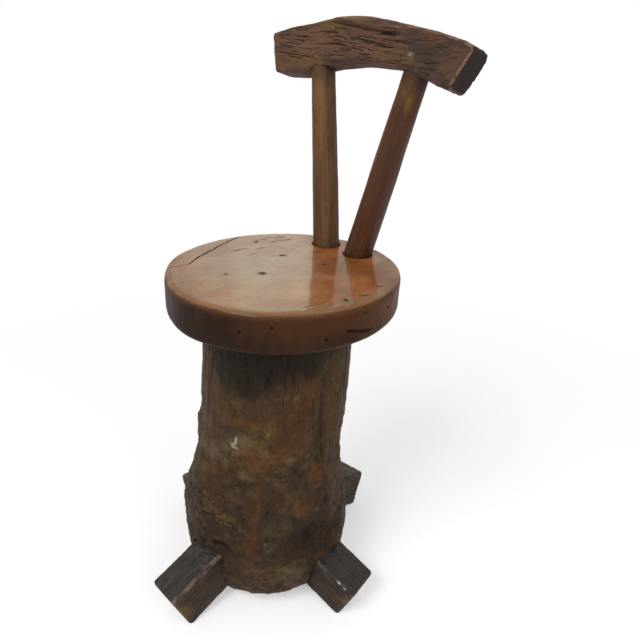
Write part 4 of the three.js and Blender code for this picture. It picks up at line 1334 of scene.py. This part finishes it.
class SeatOperator(bpy.types.Operator):
    """Carve and varnish the seat slab"""
    bl_idname = "log_chair.seat"
    bl_label = "Seat slab"

    def execute(self, context):
        carve_seat(context.scene.seat_finish)
        return {"FINISHED"}


class LogOperator(bpy.types.Operator):
    """Carve and stain the log"""
    bl_idname = "log_chair.log"
    bl_label = "Log"

    def execute(self, context):
        carve_log(context.scene.log_finish)
        return {"FINISHED"}


class PostsOperator(bpy.types.Operator):
    """Shave and oil the two back posts"""
    bl_idname = "log_chair.posts"
    bl_label = "Back posts"

    def execute(self, context):
        look = context.scene.post_finish
        carve_post(look, "back_post_left", "shaved_post_left", look.left, look.left_dark, 3)
        carve_post(look, "back_post_right", "shaved_post_right", look.right, look.right_dark, 5)
        return {"FINISHED"}


class RailOperator(bpy.types.Operator):
    """Carve and weather the crest rail"""
    bl_idname = "log_chair.rail"
    bl_label = "Crest rail"

    def execute(self, context):
        carve_rail(context.scene.rail_finish)
        return {"FINISHED"}


class FeetOperator(bpy.types.Operator):
    """Hew and stain the four feet"""
    bl_idname = "log_chair.feet"
    bl_label = "Feet"

    def execute(self, context):
        look = context.scene.foot_finish
        material = weathered_foot_wood(look)
        for seed, node in enumerate(FOOT_NAMES, 51):
            carve_foot(look, node, material, seed)
        return {"FINISHED"}


class FasteningsOperator(bpy.types.Operator):
    """Finish the dowels, pegs and wedges"""
    bl_idname = "log_chair.fastenings"
    bl_label = "Dowels, pegs and wedges"

    def execute(self, context):
        material = pale_inner_wood()
        for name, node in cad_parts.items():
            if "dowel" in name or "peg" in name or "wedge" in name:
                node.material_slots[0].material = material
        return {"FINISHED"}


class StageOperator(bpy.types.Operator):
    """Set up the floor, the lamps and the camera"""
    bl_idname = "log_chair.stage"
    bl_label = "Stage"

    def execute(self, context):
        stage = context.scene.stage_settings
        bpy.ops.mesh.primitive_plane_add(size=FLOOR_SIZE, location=from_seat((0, 0, 0)))
        floor = context.active_object
        floor.name = "floor"
        floor.data.materials.append(paper_floor(stage))
        context.scene.world = white_world(stage)
        add_lamp("key_lamp", KEY_PLACE, KEY_AIM, KEY_SIZE, stage.key_power)
        add_lamp("fill_lamp", FILL_PLACE, FILL_AIM, FILL_SIZE, stage.key_power * FILL_SHARE)
        for aside, above, width, height, share in WINDOW_PANES:
            shift = Vector(WINDOW_RIGHT) * aside + Vector(WINDOW_UP) * above
            power = stage.window_power * share * width * height / 1e6
            pane = add_lamp("window_pane", Vector(WINDOW_PLACE) + shift, Vector(WINDOW_AIM) + shift,
                            (width, height), power)
            pane.data.color = WINDOW_COLOUR
            pane.visible_diffuse = False
        bpy.ops.object.camera_add(location=from_seat(CAMERA_PLACE))
        camera = context.active_object
        forward = Vector(CAMERA_FORWARD).normalized()
        right = Vector(CAMERA_RIGHT)
        right = (right - forward * right.dot(forward)).normalized()
        turn = Matrix((right, right.cross(forward), -forward)).transposed()
        camera.rotation_euler = turn.to_euler()
        camera.data.lens = CAMERA_LENS
        context.scene.camera = camera
        context.scene.view_settings.view_transform = "Standard"
        return {"FINISHED"}


class FinishPanel(bpy.types.Panel):
    """Lists the pieces of the chair"""
    bl_idname = "VIEW3D_PT_log_chair"
    bl_label = "Log chair"
    bl_space_type = "VIEW_3D"
    bl_region_type = "UI"
    bl_category = "Log chair"

    def draw(self, context):
        for operator in OPERATORS:
            self.layout.operator(operator.bl_idname)
        for name in SETTINGS:
            group = getattr(context.scene, name)
            box = self.layout.box()
            for key in group.__annotations__:
                box.prop(group, key)


OPERATORS = (SeatOperator, LogOperator, PostsOperator, RailOperator, FeetOperator, FasteningsOperator,
             StageOperator)
SETTINGS = {
    "seat_finish": SeatFinish, "log_finish": LogFinish, "post_finish": PostFinish,
    "rail_finish": RailFinish, "foot_finish": FootFinish, "stage_settings": StageSettings,
}


def register():
    """Makes the settings, the operators and the panel known."""
    for group in (*SETTINGS.values(), *OPERATORS, FinishPanel):
        bpy.utils.register_class(group)
    for name, group in SETTINGS.items():
        setattr(bpy.types.Scene, name, bpy.props.PointerProperty(type=group))


def unregister():
    """Takes all of it away again."""
    for name in SETTINGS:
        delattr(bpy.types.Scene, name)
    for group in (FinishPanel, *reversed(OPERATORS), *reversed(SETTINGS.values())):
        bpy.utils.unregister_class(group)


def main():
    """Finishes every piece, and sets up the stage."""
    register()
    bpy.ops.log_chair.seat()
    bpy.ops.log_chair.log()
    bpy.ops.log_chair.posts()
    bpy.ops.log_chair.rail()
    bpy.ops.log_chair.feet()
    bpy.ops.log_chair.fastenings()
    bpy.ops.log_chair.stage()


if __name__ == "__main__":
    main()
